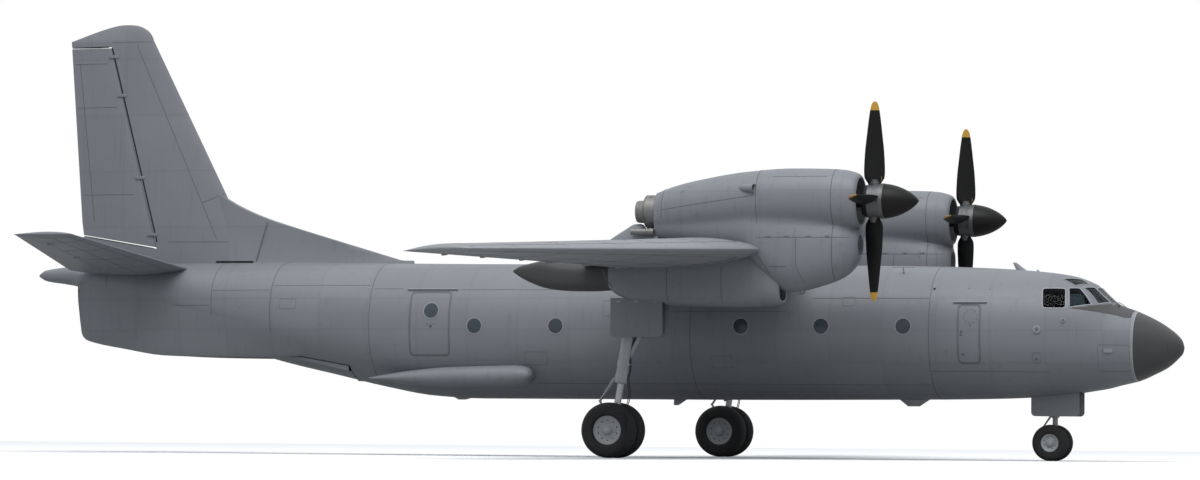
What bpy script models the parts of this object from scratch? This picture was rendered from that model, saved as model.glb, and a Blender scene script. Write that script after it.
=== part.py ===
"""A high-wing twin-turboprop transport aeroplane, parked on its extended landing gear.

Metres. +X points to the nose, +Y to port, +Z up. The ground is z = 0 and x = 0 is at mid length.
"""

import math

import bmesh
import bpy
from mathutils import Matrix, Vector

for old in list(bpy.data.objects):
    bpy.data.objects.remove(old, do_unlink=True)

# Driving dimensions: fuselage stations from tail to nose, as (x, top, bottom, half width)
FUSELAGE = (
    (-11.90, 3.64, 3.60, 0.02),
    (-11.75, 3.73, 3.51, 0.12),
    (-11.10, 3.81, 3.41, 0.28),
    (-10.60, 3.84, 3.24, 0.60),
    (-9.00, 3.86, 2.68, 0.93),
    (-7.50, 3.87, 2.16, 1.13),
    (-6.32, 3.87, 1.83, 1.28),
    (-5.28, 3.86, 1.60, 1.38),
    (-4.20, 3.85, 1.36, 1.44),
    (-3.20, 3.84, 1.19, 1.45),
    (-2.20, 3.83, 1.14, 1.45),
    (2.00, 3.81, 1.14, 1.45),
    (7.22, 3.75, 1.17, 1.45),
    (8.30, 3.71, 1.19, 1.43),
    (9.01, 3.66, 1.22, 1.38),
    (9.72, 3.57, 1.28, 1.28),
    (10.18, 3.41, 1.35, 1.16),
    (10.42, 3.20, 1.39, 1.07),
    (10.65, 3.01, 1.45, 0.97),
    (11.05, 2.86, 1.55, 0.76),
    (11.35, 2.72, 1.68, 0.58),
    (11.58, 2.58, 1.80, 0.43),
    (11.81, 2.39, 2.00, 0.21),
    (11.90, 2.20, 2.16, 0.02),
)
TAIL_TIP, NOSE_TIP = FUSELAGE[0][0], FUSELAGE[-1][0]
SECTION_POWER = 2.25
SECTION_SEGMENTS = 36
RADOME_SEAM = 11.00
NOSE_SEAM = 7.22
REAR_SEAM = -4.20
CONE_SEAM = -11.10

# Hold and cockpit hollows
HOLD_WALL = 0.08
HOLD_FLOOR = 1.50
HOLD_CEILING, TAIL_CEILING = 3.38, 3.68
CEILING_STEP = (-0.40, 0.20)
HOLD_END = -9.95
RAMP_FRONT_DEPTH, RAMP_REAR_DEPTH = 0.20, 0.12
COCKPIT_WALL = 0.07
COCKPIT_FLOOR = 1.75
COCKPIT_FRONT = 10.93

# Cargo ramp in the upswept belly, between two ventral strakes
RAMP_FRONT, RAMP_REAR = -4.70, -9.85
RAMP_FRONT_HALF, RAMP_REAR_HALF, RAMP_SIDE_GAP = 1.02, 0.56, 0.022
RAMP_HINGE_RADIUS, RAMP_HINGE_HALF, RAMP_LUG_WIDTH = 0.034, 0.30, 0.06
STRAKE_CLEARANCE = 0.045
STRAKE_THICKNESS = 0.05
STRAKE_ROOT_DEPTH = 0.05

# Wing: a straight centre section between the nacelles and tapered outer panels
WING_LE, WING_TE = 4.67, 1.19
WING_PLANE = 3.91
WING_CENTRE_HALF = 4.75
WING_HALF_SPAN = 14.60
TIP_LE, TIP_TE = 2.37, 1.20
ANHEDRAL = 0.038
ROOT_THICKNESS, TIP_THICKNESS = 0.148, 0.125
ROOT_DROP, TIP_DROP = 0.26, 0.04
WING_CAMBER = 0.018
FLAP_CHORD = 0.28
AILERON_CHORD = 0.28
INNER_FLAP = (1.56, 3.46)
OUTER_FLAP = (4.86, 9.45)
AILERON = (9.60, 14.20)

# Nacelles, engines and propellers
NACELLE_Y = 3.95
THRUST_LINE, JET_PIPE_LEVEL = 4.83, 4.66
PROP_PLANE = 6.75
PROP_RADIUS = 1.865
SPINNER_BASE, SPINNER_TIP, SPINNER_RADIUS = 6.88, 7.60, 0.33
SHAFT_RADIUS, SHAFT_GAP, SOCKET_END, SHAFT_END_GAP = 0.12, 0.0025, 6.10, 0.0008

# Tail surfaces
TAILPLANE_ROOT_LE, TAILPLANE_ROOT_TE = -8.30, -11.02
TAILPLANE_TIP_LE, TAILPLANE_TIP_TE = -9.00, -10.18
TAILPLANE_HALF_SPAN = 5.115
TAILPLANE_ROOT_Z, TAILPLANE_TIP_Z = 3.68, 4.25

# Landing gear
MAIN_AXLE = (1.70, 0.525)
MAIN_AXLE_RADIUS, NOSE_AXLE_RADIUS, AXLE_GAP = 0.045, 0.032, 0.001
MAIN_RIM_RADIUS, NOSE_RIM_RADIUS = 0.27, 0.17
LEG_BAY_HALF, NOSE_BAY_HALF, GEAR_DOOR_THICKNESS = 0.26, 0.27, 0.025
MAIN_TYRE_RADIUS, MAIN_TYRE_WIDTH, MAIN_TYRE_OFFSET = 0.525, 0.39, 0.285
NOSE_AXLE = (9.35, 0.35)
NOSE_TYRE_RADIUS, NOSE_TYRE_WIDTH, NOSE_TYRE_OFFSET = 0.35, 0.25, 0.215

# Gaps: between fixed pieces that touch, and round moving pieces
SEAT_GAP = 0.0003
RUNNING_GAP = 0.007

SIDES = (("starboard", -1), ("port", 1))


def material(name, colour, roughness, metallic=0.0):
    made = bpy.data.materials.new(name)
    made.use_nodes = True
    shader = made.node_tree.nodes["Principled BSDF"]
    shader.inputs["Base Color"].default_value = (*colour, 1.0)
    shader.inputs["Roughness"].default_value = roughness
    shader.inputs["Metallic"].default_value = metallic
    made.diffuse_color = (*colour, 1.0)
    return made


GREY_PAINT = material("grey_paint", (0.155, 0.172, 0.190), 0.5)
RADOME_PAINT = material("radome_paint", (0.080, 0.082, 0.086), 0.55)
SPINNER_PAINT = material("spinner_paint", (0.055, 0.055, 0.055), 0.45)
BLADE_PAINT = material("blade_paint", (0.018, 0.018, 0.020), 0.45)
GLAZING = material("glazing", (0.10, 0.13, 0.15), 0.08)
BARE_METAL = material("bare_metal", (0.30, 0.29, 0.28), 0.4, 0.9)
GEAR_PAINT = material("gear_paint", (0.36, 0.38, 0.39), 0.4)
RUBBER = material("tyre_rubber", (0.022, 0.022, 0.022), 0.8)
SEAT_FABRIC = material("seat_fabric", (0.05, 0.06, 0.05), 0.9)


def along(stations, column, at):
    """The value of one column of a station table at a place, on a smooth monotone curve."""
    xs = [row[0] for row in stations]
    ys = [row[column] for row in stations]
    at = min(max(at, xs[0]), xs[-1])
    k = max(i for i in range(len(xs) - 1) if xs[i] <= at)
    slopes = [(ys[i + 1] - ys[i]) / (xs[i + 1] - xs[i]) for i in range(len(xs) - 1)]

    def tangent(i):
        if i == 0 or i == len(xs) - 1:
            return slopes[min(i, len(slopes) - 1)]
        before, after = slopes[i - 1], slopes[i]
        if before * after <= 0:
            return 0.0
        return 2 * before * after / (before + after)

    span = xs[k + 1] - xs[k]
    t = (at - xs[k]) / span
    start, end = tangent(k) * span, tangent(k + 1) * span
    return (
        ys[k] * (2 * t**3 - 3 * t**2 + 1)
        + start * (t**3 - 2 * t**2 + t)
        + ys[k + 1] * (3 * t**2 - 2 * t**3)
        + end * (t**3 - t**2)
    )


def spread(start, end, count):
    return [start + (end - start) * i / (count - 1) for i in range(count)]


def blend(a, b, t):
    return a + (b - a) * t


def finish_object(name, bm, paint, pivot=None, smooth_angle=35):
    """Makes a named object from a bmesh in world coordinates, with its origin at the pivot."""
    bmesh.ops.recalc_face_normals(bm, faces=bm.faces)
    mesh = bpy.data.meshes.new(name)
    bm.to_mesh(mesh)
    bm.free()
    mesh.materials.append(paint)
    mesh.shade_smooth()
    mesh.set_sharp_from_angle(angle=math.radians(smooth_angle))
    made = bpy.data.objects.new(name, mesh)
    bpy.context.scene.collection.objects.link(made)
    if pivot is not None:
        mesh.transform(Matrix.Translation(-Vector(pivot)))
        made.location = pivot
    return made


def loft(name, rings, paint, pivot=None, wrap=False):
    """A closed solid through rings of points that match one to one. A wrapped one closes on itself.

    Its sides are triangles cut along the same diagonal everywhere, so that two skins that follow
    each other at a small gap never cross.
    """
    bm = bmesh.new()
    rows = [[bm.verts.new(point) for point in ring] for ring in rings]
    pairs = list(zip(rows, rows[1:]))
    if wrap:
        pairs.append((rows[-1], rows[0]))
    for first, second in pairs:
        for i in range(len(first)):
            j = (i + 1) % len(first)
            bm.faces.new((first[i], first[j], second[j]))
            bm.faces.new((first[i], second[j], second[i]))
    if not wrap:
        bm.faces.new(rows[0])
        bm.faces.new(list(reversed(rows[-1])))
    return finish_object(name, bm, paint, pivot)


def turned(name, profile, centre, axis, paint, segments=20, pivot=None, ring=False, turn=0.0):
    """Turns (distance along the axis, radius) points. A ring's profile closes on itself."""
    frame = Vector(axis).to_track_quat("Z", "Y").to_matrix()
    rings = []
    for k in range(segments):
        angle = 2 * math.pi * (k + turn) / segments
        out = frame @ Vector((math.cos(angle), math.sin(angle), 0))
        rings.append([Vector(centre) + Vector(axis) * s + out * r for s, r in profile])
    if ring:
        return loft(name, rings, paint, pivot, wrap=True)
    discs = [[rings[k][i] for k in range(segments)] for i in range(len(profile))]
    return loft(name, discs, paint, pivot)


def rod(name, start, end, radius, paint, segments=10):
    start, end = Vector(start), Vector(end)
    axis = (end - start).normalized()
    return turned(name, [(0, radius), ((end - start).length, radius)], start, axis, paint, segments)


def block(name, low, high, paint, pivot=None):
    (x0, y0, z0), (x1, y1, z1) = low, high
    rings = [[(x, y0, z0), (x, y1, z0), (x, y1, z1), (x, y0, z1)] for x in (x0, x1)]
    return loft(name, rings, paint, pivot)


def extruded(name, outline, y0, y1, paint, pivot=None):
    """An outline of (x, z) points, extruded across from y0 to y1."""
    return loft(name, [[(x, y, z) for x, z in outline] for y in (y0, y1)], paint, pivot)


def combine(target, helper, operation):
    """Cuts or joins a helper, which is then left out of the part."""
    helper.hide_render = True
    helper.display_type = "WIRE"
    modifier = target.modifiers.new(helper.name, "BOOLEAN")
    modifier.operation = operation
    modifier.solver = "EXACT"
    modifier.object = helper


def cut(target, *helpers):
    for helper in helpers:
        combine(target, helper, "DIFFERENCE")


def fuse(target, *helpers):
    for helper in helpers:
        combine(target, helper, "UNION")


def oval(x, y, top, bottom, half, power=SECTION_POWER, segments=SECTION_SEGMENTS, low=None, high=None):
    """A rounded cross-section at x, which may be clipped flat at a low or a high level."""
    middle, rise = (top + bottom) / 2, (top - bottom) / 2
    ring = []
    for k in range(segments):
        angle = 2 * math.pi * (k + 0.5) / segments
        c, s = math.cos(angle), math.sin(angle)
        z = middle + rise * math.copysign(abs(s) ** (2 / power), s)
        z = z if low is None else max(z, low)
        z = z if high is None else min(z, high)
        ring.append((x, y + half * math.copysign(abs(c) ** (2 / power), c), z))
    return ring


def fuselage_ring(x, grow=0.0, low=None, high=None):
    top, bottom, half = (along(FUSELAGE, column, x) for column in (1, 2, 3))
    return oval(x, 0, top + grow, bottom - grow, half + grow, low=low, high=high)


def stations_between(x0, x1, step=1.8):
    """The table's own stations between two seams, with more where they lie far apart."""
    inner = [row[0] for row in FUSELAGE if x0 + 0.05 < row[0] < x1 - 0.05]
    stops = [x0, *inner, x1]
    places = []
    for a, b in zip(stops, stops[1:]):
        places += spread(a, b, max(2, 1 + math.ceil((b - a) / step)))[:-1]
    return [*places, x1]


def fuselage_piece(name, x0, x1, paint, grow=0.0):
    rings = [fuselage_ring(x, grow) for x in stations_between(x0, x1)]
    return loft(name, rings, paint)


def body_cutter():
    """The whole fuselage, a seat gap larger, which trims what stands on it. It is made once."""
    made = bpy.data.objects.get("body_cutter")
    return made or fuselage_piece("body_cutter", TAIL_TIP, NOSE_TIP, GREY_PAINT, SEAT_GAP)


def ramp_share(x):
    """0 at the ramp's hinge end, 1 at its rear end."""
    return (x - RAMP_FRONT) / (RAMP_REAR - RAMP_FRONT)


def hold_floor(x):
    depth = blend(RAMP_FRONT_DEPTH, RAMP_REAR_DEPTH, max(ramp_share(x), 0.0))
    return max(HOLD_FLOOR, along(FUSELAGE, 2, x) + depth)


def hold_space(name):
    """The hollow of the hold, a tube that runs out through the front seam."""
    places = [HOLD_END, -9.0, -8.0, -7.0, -6.0, -5.0, REAR_SEAM, -3.2, -2.2, *CEILING_STEP, NOSE_SEAM + 0.2]
    rings = []
    for x in places:
        roof = HOLD_CEILING if x >= CEILING_STEP[1] else TAIL_CEILING
        rings.append(fuselage_ring(x, -HOLD_WALL, low=hold_floor(x), high=roof))
    return loft(name, rings, GREY_PAINT)


def ramp_half_width(x):
    return blend(RAMP_FRONT_HALF, RAMP_REAR_HALF, ramp_share(x))


def ramp_region(name, margin, side_margin):
    """The prism that bounds the ramp in plan, from below the belly up into the hold."""
    rings = []
    for x in (RAMP_REAR - margin, -8.0, -6.4, RAMP_FRONT + margin):
        half = ramp_half_width(x) + side_margin
        top = hold_floor(x) + blend(0.40, 0.13, ramp_share(x))
        rings.append([(x, -half, 0.5), (x, half, 0.5), (x, half, top), (x, -half, top)])
    return loft(name, rings, GREY_PAINT)


def build_strake(side, sign):
    """A ventral strake: its outer face carries on the fuselage side, its inner face is upright."""
    rows = (
        (-5.10, 2.04, 2.12),
        (-5.60, 1.98, 2.34),
        (-6.60, 1.93, 2.64),
        (-7.80, 1.94, 2.99),
        (-8.80, 1.97, 3.25),
        (-9.70, 2.10, 3.40),
        (-10.50, 2.25, 3.46),
        (-10.62, 2.45, 3.46),
    )
    rings = []
    for x, bottom, seam in rows:
        inner = ramp_half_width(x) + STRAKE_CLEARANCE
        top, low, half = (along(FUSELAGE, column, x) for column in (1, 2, 3))
        level = abs(seam - (top + low) / 2) / ((top - low) / 2)
        skin = half * (1 - level**SECTION_POWER) ** (1 / SECTION_POWER)
        outer = max(skin - STRAKE_ROOT_DEPTH, inner + 0.02)
        rings.append(
            [
                (x, sign * inner, bottom),
                (x, sign * (inner + STRAKE_THICKNESS), bottom),
                (x, sign * outer, seam),
                (x, sign * inner, seam + 0.02),
            ]
        )
    strake = loft(f"ventral_strake_{side}", rings, GREY_PAINT)
    cut(strake, body_cutter())


# The blister low on each side, as (x, half height)
SIDE_STRIP = (
    (-4.15, 0.02),
    (-3.9, 0.06),
    (-3.3, 0.14),
    (-2.4, 0.20),
    (-1.1, 0.21),
    (-0.85, 0.16),
    (-0.77, 0.08),
)


def build_side_strip(sign):
    """The long blister low on the fuselage side, round in front and pointed behind."""
    rings = []
    for x, rise in SIDE_STRIP:
        middle = 1.555 + 0.02 * (x + 2.4)
        rings.append(oval(x, sign * 1.30, middle + rise, middle - rise, 0.10 + 0.7 * rise, 2.0, 16))
    return loft(f"side_strip_{sign}", rings, GREY_PAINT)


def build_fuselage():
    half_gap = SEAT_GAP / 2
    fuselage_piece("radome", RADOME_SEAM + half_gap, NOSE_TIP, RADOME_PAINT)
    fuselage_piece("tail_cone", TAIL_TIP, CONE_SEAM - half_gap, GREY_PAINT)

    centre = fuselage_piece("centre_fuselage", REAR_SEAM + half_gap, NOSE_SEAM - half_gap, GREY_PAINT)
    fuse(centre, build_side_strip(-1), build_side_strip(1))
    cut(centre, hold_space("hold_of_centre"), wing_cutter())

    rear = fuselage_piece("rear_fuselage", CONE_SEAM + half_gap, REAR_SEAM - half_gap, GREY_PAINT)
    cut(rear, hold_space("hold_of_rear"), ramp_region("ramp_opening", RUNNING_GAP, RAMP_SIDE_GAP))

    # The ramp turns on a tube at its front edge, held at both ends by a lug under the fuselage
    hinge_level = along(FUSELAGE, 2, RAMP_FRONT) + RAMP_HINGE_RADIUS + 0.002
    hinge = Vector((RAMP_FRONT - RAMP_HINGE_RADIUS, 0.0, hinge_level))
    ramp = fuselage_piece("cargo_ramp", CONE_SEAM, REAR_SEAM, GREY_PAINT)
    ramp.data.transform(Matrix.Translation(-hinge))
    ramp.location = hinge
    combine(ramp, ramp_region("ramp_outline", 0.0, 0.0), "INTERSECT")
    front_edge = hinge.x - RAMP_HINGE_RADIUS + 0.004
    trim = block("ramp_front_trim", (front_edge, -1.2, 1.0), (hinge.x + 0.2, 1.2, 3.0), GREY_PAINT)
    cut(ramp, hold_space("hold_over_ramp"), trim)
    half, width, reach = RAMP_HINGE_HALF, RAMP_LUG_WIDTH, RAMP_HINGE_RADIUS
    for sign in (-1, 1):
        near, far = sorted((sign * (half + SEAT_GAP), sign * (half + width)))
        low, high = hinge.z - reach, hinge.z + reach
        lug = block(f"ramp_lug_{sign}", (hinge.x - 0.03, near, low), (hinge.x + 0.30, far, high), GREY_PAINT)
        fuse(rear, lug)
        near, far = near - 0.006, far + 0.006
        back, front = hinge.x - 0.10, hinge.x + 0.2
        cut(ramp, block(f"ramp_notch_{sign}", (back, near, 1.0), (front, far, 2.0), GREY_PAINT))
    tube = rod("ramp_hinge_tube", (hinge.x, -half, hinge.z), (hinge.x, half, hinge.z), reach, GREY_PAINT, 16)
    fuse(ramp, tube)

    for side, sign in SIDES:
        build_strake(side, sign)


# Where the glass behind the panes starts, bends and ends
GLAZED_STATIONS = (9.01, 9.72, 10.18, 10.42, 10.65, 10.80)

# Cockpit panes as (name, middle, heading and tilt in degrees, width, height, lean of the front edge)
PANES = (
    ("side", (9.60, 1.30, 3.11), 84, 8, 0.43, 0.36, 0.00),
    ("quarter", (10.08, 1.12, 3.11), 68, 14, 0.42, 0.36, 0.12),
    ("front_side", (10.33, 0.78, 3.17), 42, 28, 0.44, 0.38, 0.10),
    ("windscreen", (10.45, 0.27, 3.20), 10, 44, 0.42, 0.42, 0.00),
    ("eyebrow", (9.90, 0.72, 3.44), 80, 62, 0.44, 0.15, 0.06),
)


def pane_cutter(name, sign, middle, heading, tilt, width, height, lean):
    """A prism through the skin, along the direction in which the pane faces."""
    turn, rise = math.radians(heading), math.radians(tilt)
    out = Vector((math.cos(turn) * math.cos(rise), sign * math.sin(turn) * math.cos(rise), math.sin(rise)))
    across = Vector((0, 0, 1)).cross(out).normalized() * -sign
    up = Vector((0, 0, 1)) - out * out.z
    up.normalize()
    centre = Vector((middle[0], sign * middle[1], middle[2]))
    corners = ((-0.5, -0.5, 0), (0.5, -0.5, 0), (0.5, 0.5, -lean), (-0.5, 0.5, 0))
    rings = []
    for depth in (-0.16, 0.30):
        face = centre + out * depth
        rings.append([face + across * (a * width + e) + up * (b * height) for a, b, e in corners])
    return loft(name, rings, GLAZING)


def build_cockpit():
    half_gap = SEAT_GAP / 2
    nose = fuselage_piece("nose_section", NOSE_SEAM + half_gap, RADOME_SEAM - half_gap, GREY_PAINT)
    places = (7.0, 8.3, *GLAZED_STATIONS, COCKPIT_FRONT)
    hollow = [fuselage_ring(x, -COCKPIT_WALL, low=COCKPIT_FLOOR) for x in places]
    cut(nose, loft("cockpit_space", hollow, GREY_PAINT))
    for name, *pane in PANES:
        for sign in (-1, 1):
            cut(nose, pane_cutter(f"{name}_pane_{sign}", sign, *pane))
    cut(nose, block("nose_wheel_bay", (8.95, -NOSE_BAY_HALF, 0.9), (9.95, NOSE_BAY_HALF, 1.60), GREY_PAINT))

    liner_outside, liner_inside = COCKPIT_WALL + SEAT_GAP, COCKPIT_WALL + 0.016
    crown = slice(1, SECTION_SEGMENTS // 2 - 1)
    bands = []
    for x in GLAZED_STATIONS:
        outer = fuselage_ring(x, -liner_outside)[crown]
        inner = fuselage_ring(x, -liner_inside)[crown]
        bands.append(outer + list(reversed(inner)))
    loft("cockpit_glazing", bands, GLAZING)

    floor = COCKPIT_FLOOR + SEAT_GAP
    for side, sign in SIDES:
        base = ((9.00, floor), (9.42, floor), (9.42, 2.12), (9.50, 2.22))
        back = ((9.12, 2.22), (9.02, 2.90), (8.92, 2.90), (8.98, 2.12))
        extruded(f"pilot_seat_{side}", base + back, sign * 0.32, sign * 0.78, SEAT_FABRIC)
    panel = ((10.10, floor), (10.50, floor), (10.50, 2.55), (10.32, 2.86), (10.20, 2.86), (10.12, 2.50))
    extruded("instrument_panel", panel, -0.62, 0.62, RADOME_PAINT)


def thickness_at(s, ratio):
    """Half thickness of the aerofoil at a fraction of its chord, for a chord of 1. Its nose is fine
    and it is thickest two fifths of the way back."""
    return ratio * (0.70 * math.sqrt(s) + 0.98 * s) * (1 - s) + 0.001


PIN_RADIUS, PIN_END_GAP = 0.012, 0.0009
PIN_SECTION = [
    (PIN_RADIUS * math.cos(math.pi * k / 4), PIN_RADIUS * math.sin(math.pi * k / 4)) for k in range(8)
]


class Panel:
    """A tapered lifting surface from a root to a tip, whose sections lie in planes of constant span.

    Its drops are how much lower the trailing edge lies than the leading edge, at root and tip.
    """

    def __init__(self, root, tip, ratios, camber=0.0, upright=False, drops=(0.0, 0.0)):
        self.root, self.tip, self.drops = root, tip, drops
        self.ratios, self.camber, self.upright = ratios, camber, upright

    def place(self, span):
        t = (span - self.root[0]) / (self.tip[0] - self.root[0])
        front, back, level = (blend(self.root[i], self.tip[i], t) for i in (1, 2, 3))
        return front, back, level, blend(*self.ratios, t)

    def surface(self, span, s, upper, grow=0.0):
        """(x, level) of the upper or lower skin at a fraction of the chord."""
        front, back, level, ratio = self.place(span)
        chord = front - back
        t = (span - self.root[0]) / (self.tip[0] - self.root[0])
        mean = self.camber * chord * 4 * s * (1 - s) - s * blend(*self.drops, t)
        sign = 1 if upper else -1
        return front - s * chord, level + mean + sign * (thickness_at(s, ratio) * chord + grow)

    def hinge(self, span, s):
        """Centre and radius of the round nose of a control surface hinged at a fraction of the chord."""
        x, high = self.surface(span, s, True)
        low = self.surface(span, s, False)[1]
        return x, (high + low) / 2, 0.965 * (high - low) / 2

    def point(self, span, x, level):
        return (x, level, span) if self.upright else (x, span, level)

    def outline(self, span, grow=0.0, steps=9):
        """The whole section, from the trailing edge over the top to the nose and back below."""
        fractions = [0.5 * (1 - math.cos(math.pi * k / steps)) for k in range(steps + 1)]
        over = [self.surface(span, s, True, grow) for s in reversed(fractions)]
        under = [self.surface(span, s, False, grow) for s in fractions[1:]]
        front = over[steps][0] + grow
        over[steps] = (front, (over[steps][1] + self.surface(span, 0, False)[1]) / 2)
        back = over[0][0] - grow
        over[0], under[-1] = (back, over[0][1]), (back, under[-1][1])
        return [self.point(span, x, level) for x, level in over + under]

    def flap(self, span, s, steps=4):
        """The section of a control surface: round nose, then the panel's own skins to the trailing edge."""
        x, level, radius = self.hinge(span, s)
        rear = [s + 0.03 + (1 - s - 0.03) * k / steps for k in range(steps + 1)]
        nose = []
        for k in range(9):
            angle = math.radians(6 + (174 - 6) * k / 8)
            nose.append((x + radius * math.sin(angle), level + radius * math.cos(angle)))
        under = [self.surface(span, f, False) for f in rear]
        over = [self.surface(span, f, True) for f in reversed(rear)]
        return [self.point(span, px, pl) for px, pl in nose + under + over]

    def bay(self, span, s, up, down, gap=RUNNING_GAP):
        """The section of the space that a control surface needs behind the fixed part."""
        x, level, radius = self.hinge(span, s)
        reach = radius + gap
        far = x - self.place(span)[1] + 0.2
        arc = []
        for k in range(9):
            angle = math.radians(up + (180 - down - up) * k / 8)
            arc.append((x + reach * math.sin(angle), level + reach * math.cos(angle)))
        top, bottom = level + 4 * radius, level - 4 * radius
        rim = [(arc[-1][0], bottom), (x - far, bottom), (x - far, top), (arc[0][0], top)]
        return [self.point(span, px, pl) for px, pl in arc + rim]

    def solid(self, name, spans, paint, grow=0.0):
        rings = [self.outline(span, grow) for span in spans]
        return loft(name, rings, paint)

    def control(self, name, inner, outer, s, end_gap, paint):
        """A control surface with its origin on its hinge line, and a hinge pin at each end of its bay."""
        middle = (inner + outer) / 2
        x, level, _ = self.hinge(middle, s)
        made = loft(name, [self.flap(inner, s), self.flap(outer, s)], paint, self.point(middle, x, level))
        for edge, way in ((inner, -1), (outer, 1)):
            step = math.copysign(1, outer - inner) * way
            rings = []
            for span in (edge - step * 0.15, edge + step * (end_gap - PIN_END_GAP)):
                px, pl, _ = self.hinge(span, s)
                rings.append([self.point(span, px + c, pl + e) for c, e in PIN_SECTION])
            fuse(made, loft(f"{name}_pin_{way}", rings, BARE_METAL))
        return made

    def bay_cutter(self, name, inner, outer, s, up, down, end_gap):
        step = math.copysign(end_gap, outer - inner)
        ends = (inner - step, outer + step)
        return loft(name, [self.bay(span, s, up, down) for span in ends], GREY_PAINT)


def wing_centre_panel(sign):
    root = (0.0, WING_LE, WING_TE, WING_PLANE)
    end = (sign * WING_CENTRE_HALF, WING_LE, WING_TE, WING_PLANE)
    return Panel(root, end, (ROOT_THICKNESS, ROOT_THICKNESS), WING_CAMBER, drops=(ROOT_DROP, ROOT_DROP))


def wing_outer_panel(sign):
    tip_level = WING_PLANE - ANHEDRAL * (WING_HALF_SPAN - WING_CENTRE_HALF)
    root = (sign * WING_CENTRE_HALF, WING_LE, WING_TE, WING_PLANE)
    tip = (sign * WING_HALF_SPAN, TIP_LE, TIP_TE, tip_level)
    return Panel(root, tip, (ROOT_THICKNESS, TIP_THICKNESS), WING_CAMBER, drops=(ROOT_DROP, TIP_DROP))


def wing_centre_solid(name, grow=0.0):
    panel = wing_centre_panel(1)
    return panel.solid(name, (-WING_CENTRE_HALF, WING_CENTRE_HALF), GREY_PAINT, grow)


def wing_cutter():
    """The centre wing, a seat gap larger, which trims what stands round it. It is made once."""
    return bpy.data.objects.get("wing_cutter") or wing_centre_solid("wing_cutter", SEAT_GAP)


def build_wing():
    centre = wing_centre_solid("wing_centre")
    for side, sign in SIDES:
        inner = wing_centre_panel(sign)
        spans = [sign * y for y in INNER_FLAP]
        inner.control(f"inner_flap_{side}", *spans, 1 - FLAP_CHORD, 0.02, GREY_PAINT)
        cut(centre, inner.bay_cutter(f"inner_flap_bay_{side}", *spans, 1 - FLAP_CHORD, 4, 43, 0.02))

        outer = wing_outer_panel(sign)
        start = sign * (WING_CENTRE_HALF + SEAT_GAP)
        tip = [sign * (WING_HALF_SPAN - inset) for inset in (0.35, 0.0)]
        wing = outer.solid(f"outer_wing_{side}", (start, *tip), GREY_PAINT)
        spans = [sign * y for y in OUTER_FLAP]
        outer.control(f"outer_flap_{side}", *spans, 1 - FLAP_CHORD, 0.03, GREY_PAINT)
        cut(wing, outer.bay_cutter(f"outer_flap_bay_{side}", *spans, 1 - FLAP_CHORD, 4, 43, 0.03))
        spans = [sign * y for y in AILERON]
        outer.control(f"aileron_{side}", *spans, 1 - AILERON_CHORD, 0.02, GREY_PAINT)
        cut(wing, outer.bay_cutter(f"aileron_bay_{side}", *spans, 1 - AILERON_CHORD, 30, 30, 0.02))


# Cowling stations as (x, top, bottom, half width)
COWLING = (
    (2.56, 5.02, 4.12, 0.34),
    (2.90, 5.14, 4.08, 0.42),
    (3.37, 5.25, 4.00, 0.50),
    (4.31, 5.40, 3.85, 0.60),
    (4.60, 5.43, 3.45, 0.62),
    (5.16, 5.455, 3.13, 0.63),
    (5.82, 5.445, 3.27, 0.61),
    (6.19, 5.42, 3.41, 0.58),
    (6.39, 5.38, 3.57, 0.54),
    (6.49, 5.32, 3.79, 0.49),
)

# Stations of the pod below the wing that carries the main leg, as (x, top, bottom, half width)
GEAR_POD = (
    (-0.31, 3.56, 3.52, 0.03),
    (-0.15, 3.64, 3.44, 0.12),
    (0.22, 3.72, 3.26, 0.24),
    (1.15, 3.66, 3.18, 0.33),
    (1.60, 3.70, 3.17, 0.36),
    (1.95, 3.74, 2.95, 0.38),
    (2.25, 3.78, 2.86, 0.38),
    (4.70, 3.95, 2.84, 0.38),
    (4.93, 3.90, 2.87, 0.36),
    (5.00, 3.80, 2.92, 0.33),
)


def station_rings(table, y, power, segments, grow=0.0, step=1.2):
    places = []
    for a, b in zip(table, table[1:]):
        places += spread(a[0], b[0], max(2, 1 + math.ceil((b[0] - a[0]) / step)))[:-1]
    places.append(table[-1][0])
    rings = []
    for x in places:
        top, bottom, half = (along(table, column, x) for column in (1, 2, 3))
        rings.append(oval(x, y, top + grow, bottom - grow, half + grow, power, segments))
    return rings


def cowling_solid(name, y, grow=0.0):
    return loft(name, station_rings(COWLING, y, 2.5, 20, grow), GREY_PAINT)


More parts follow.
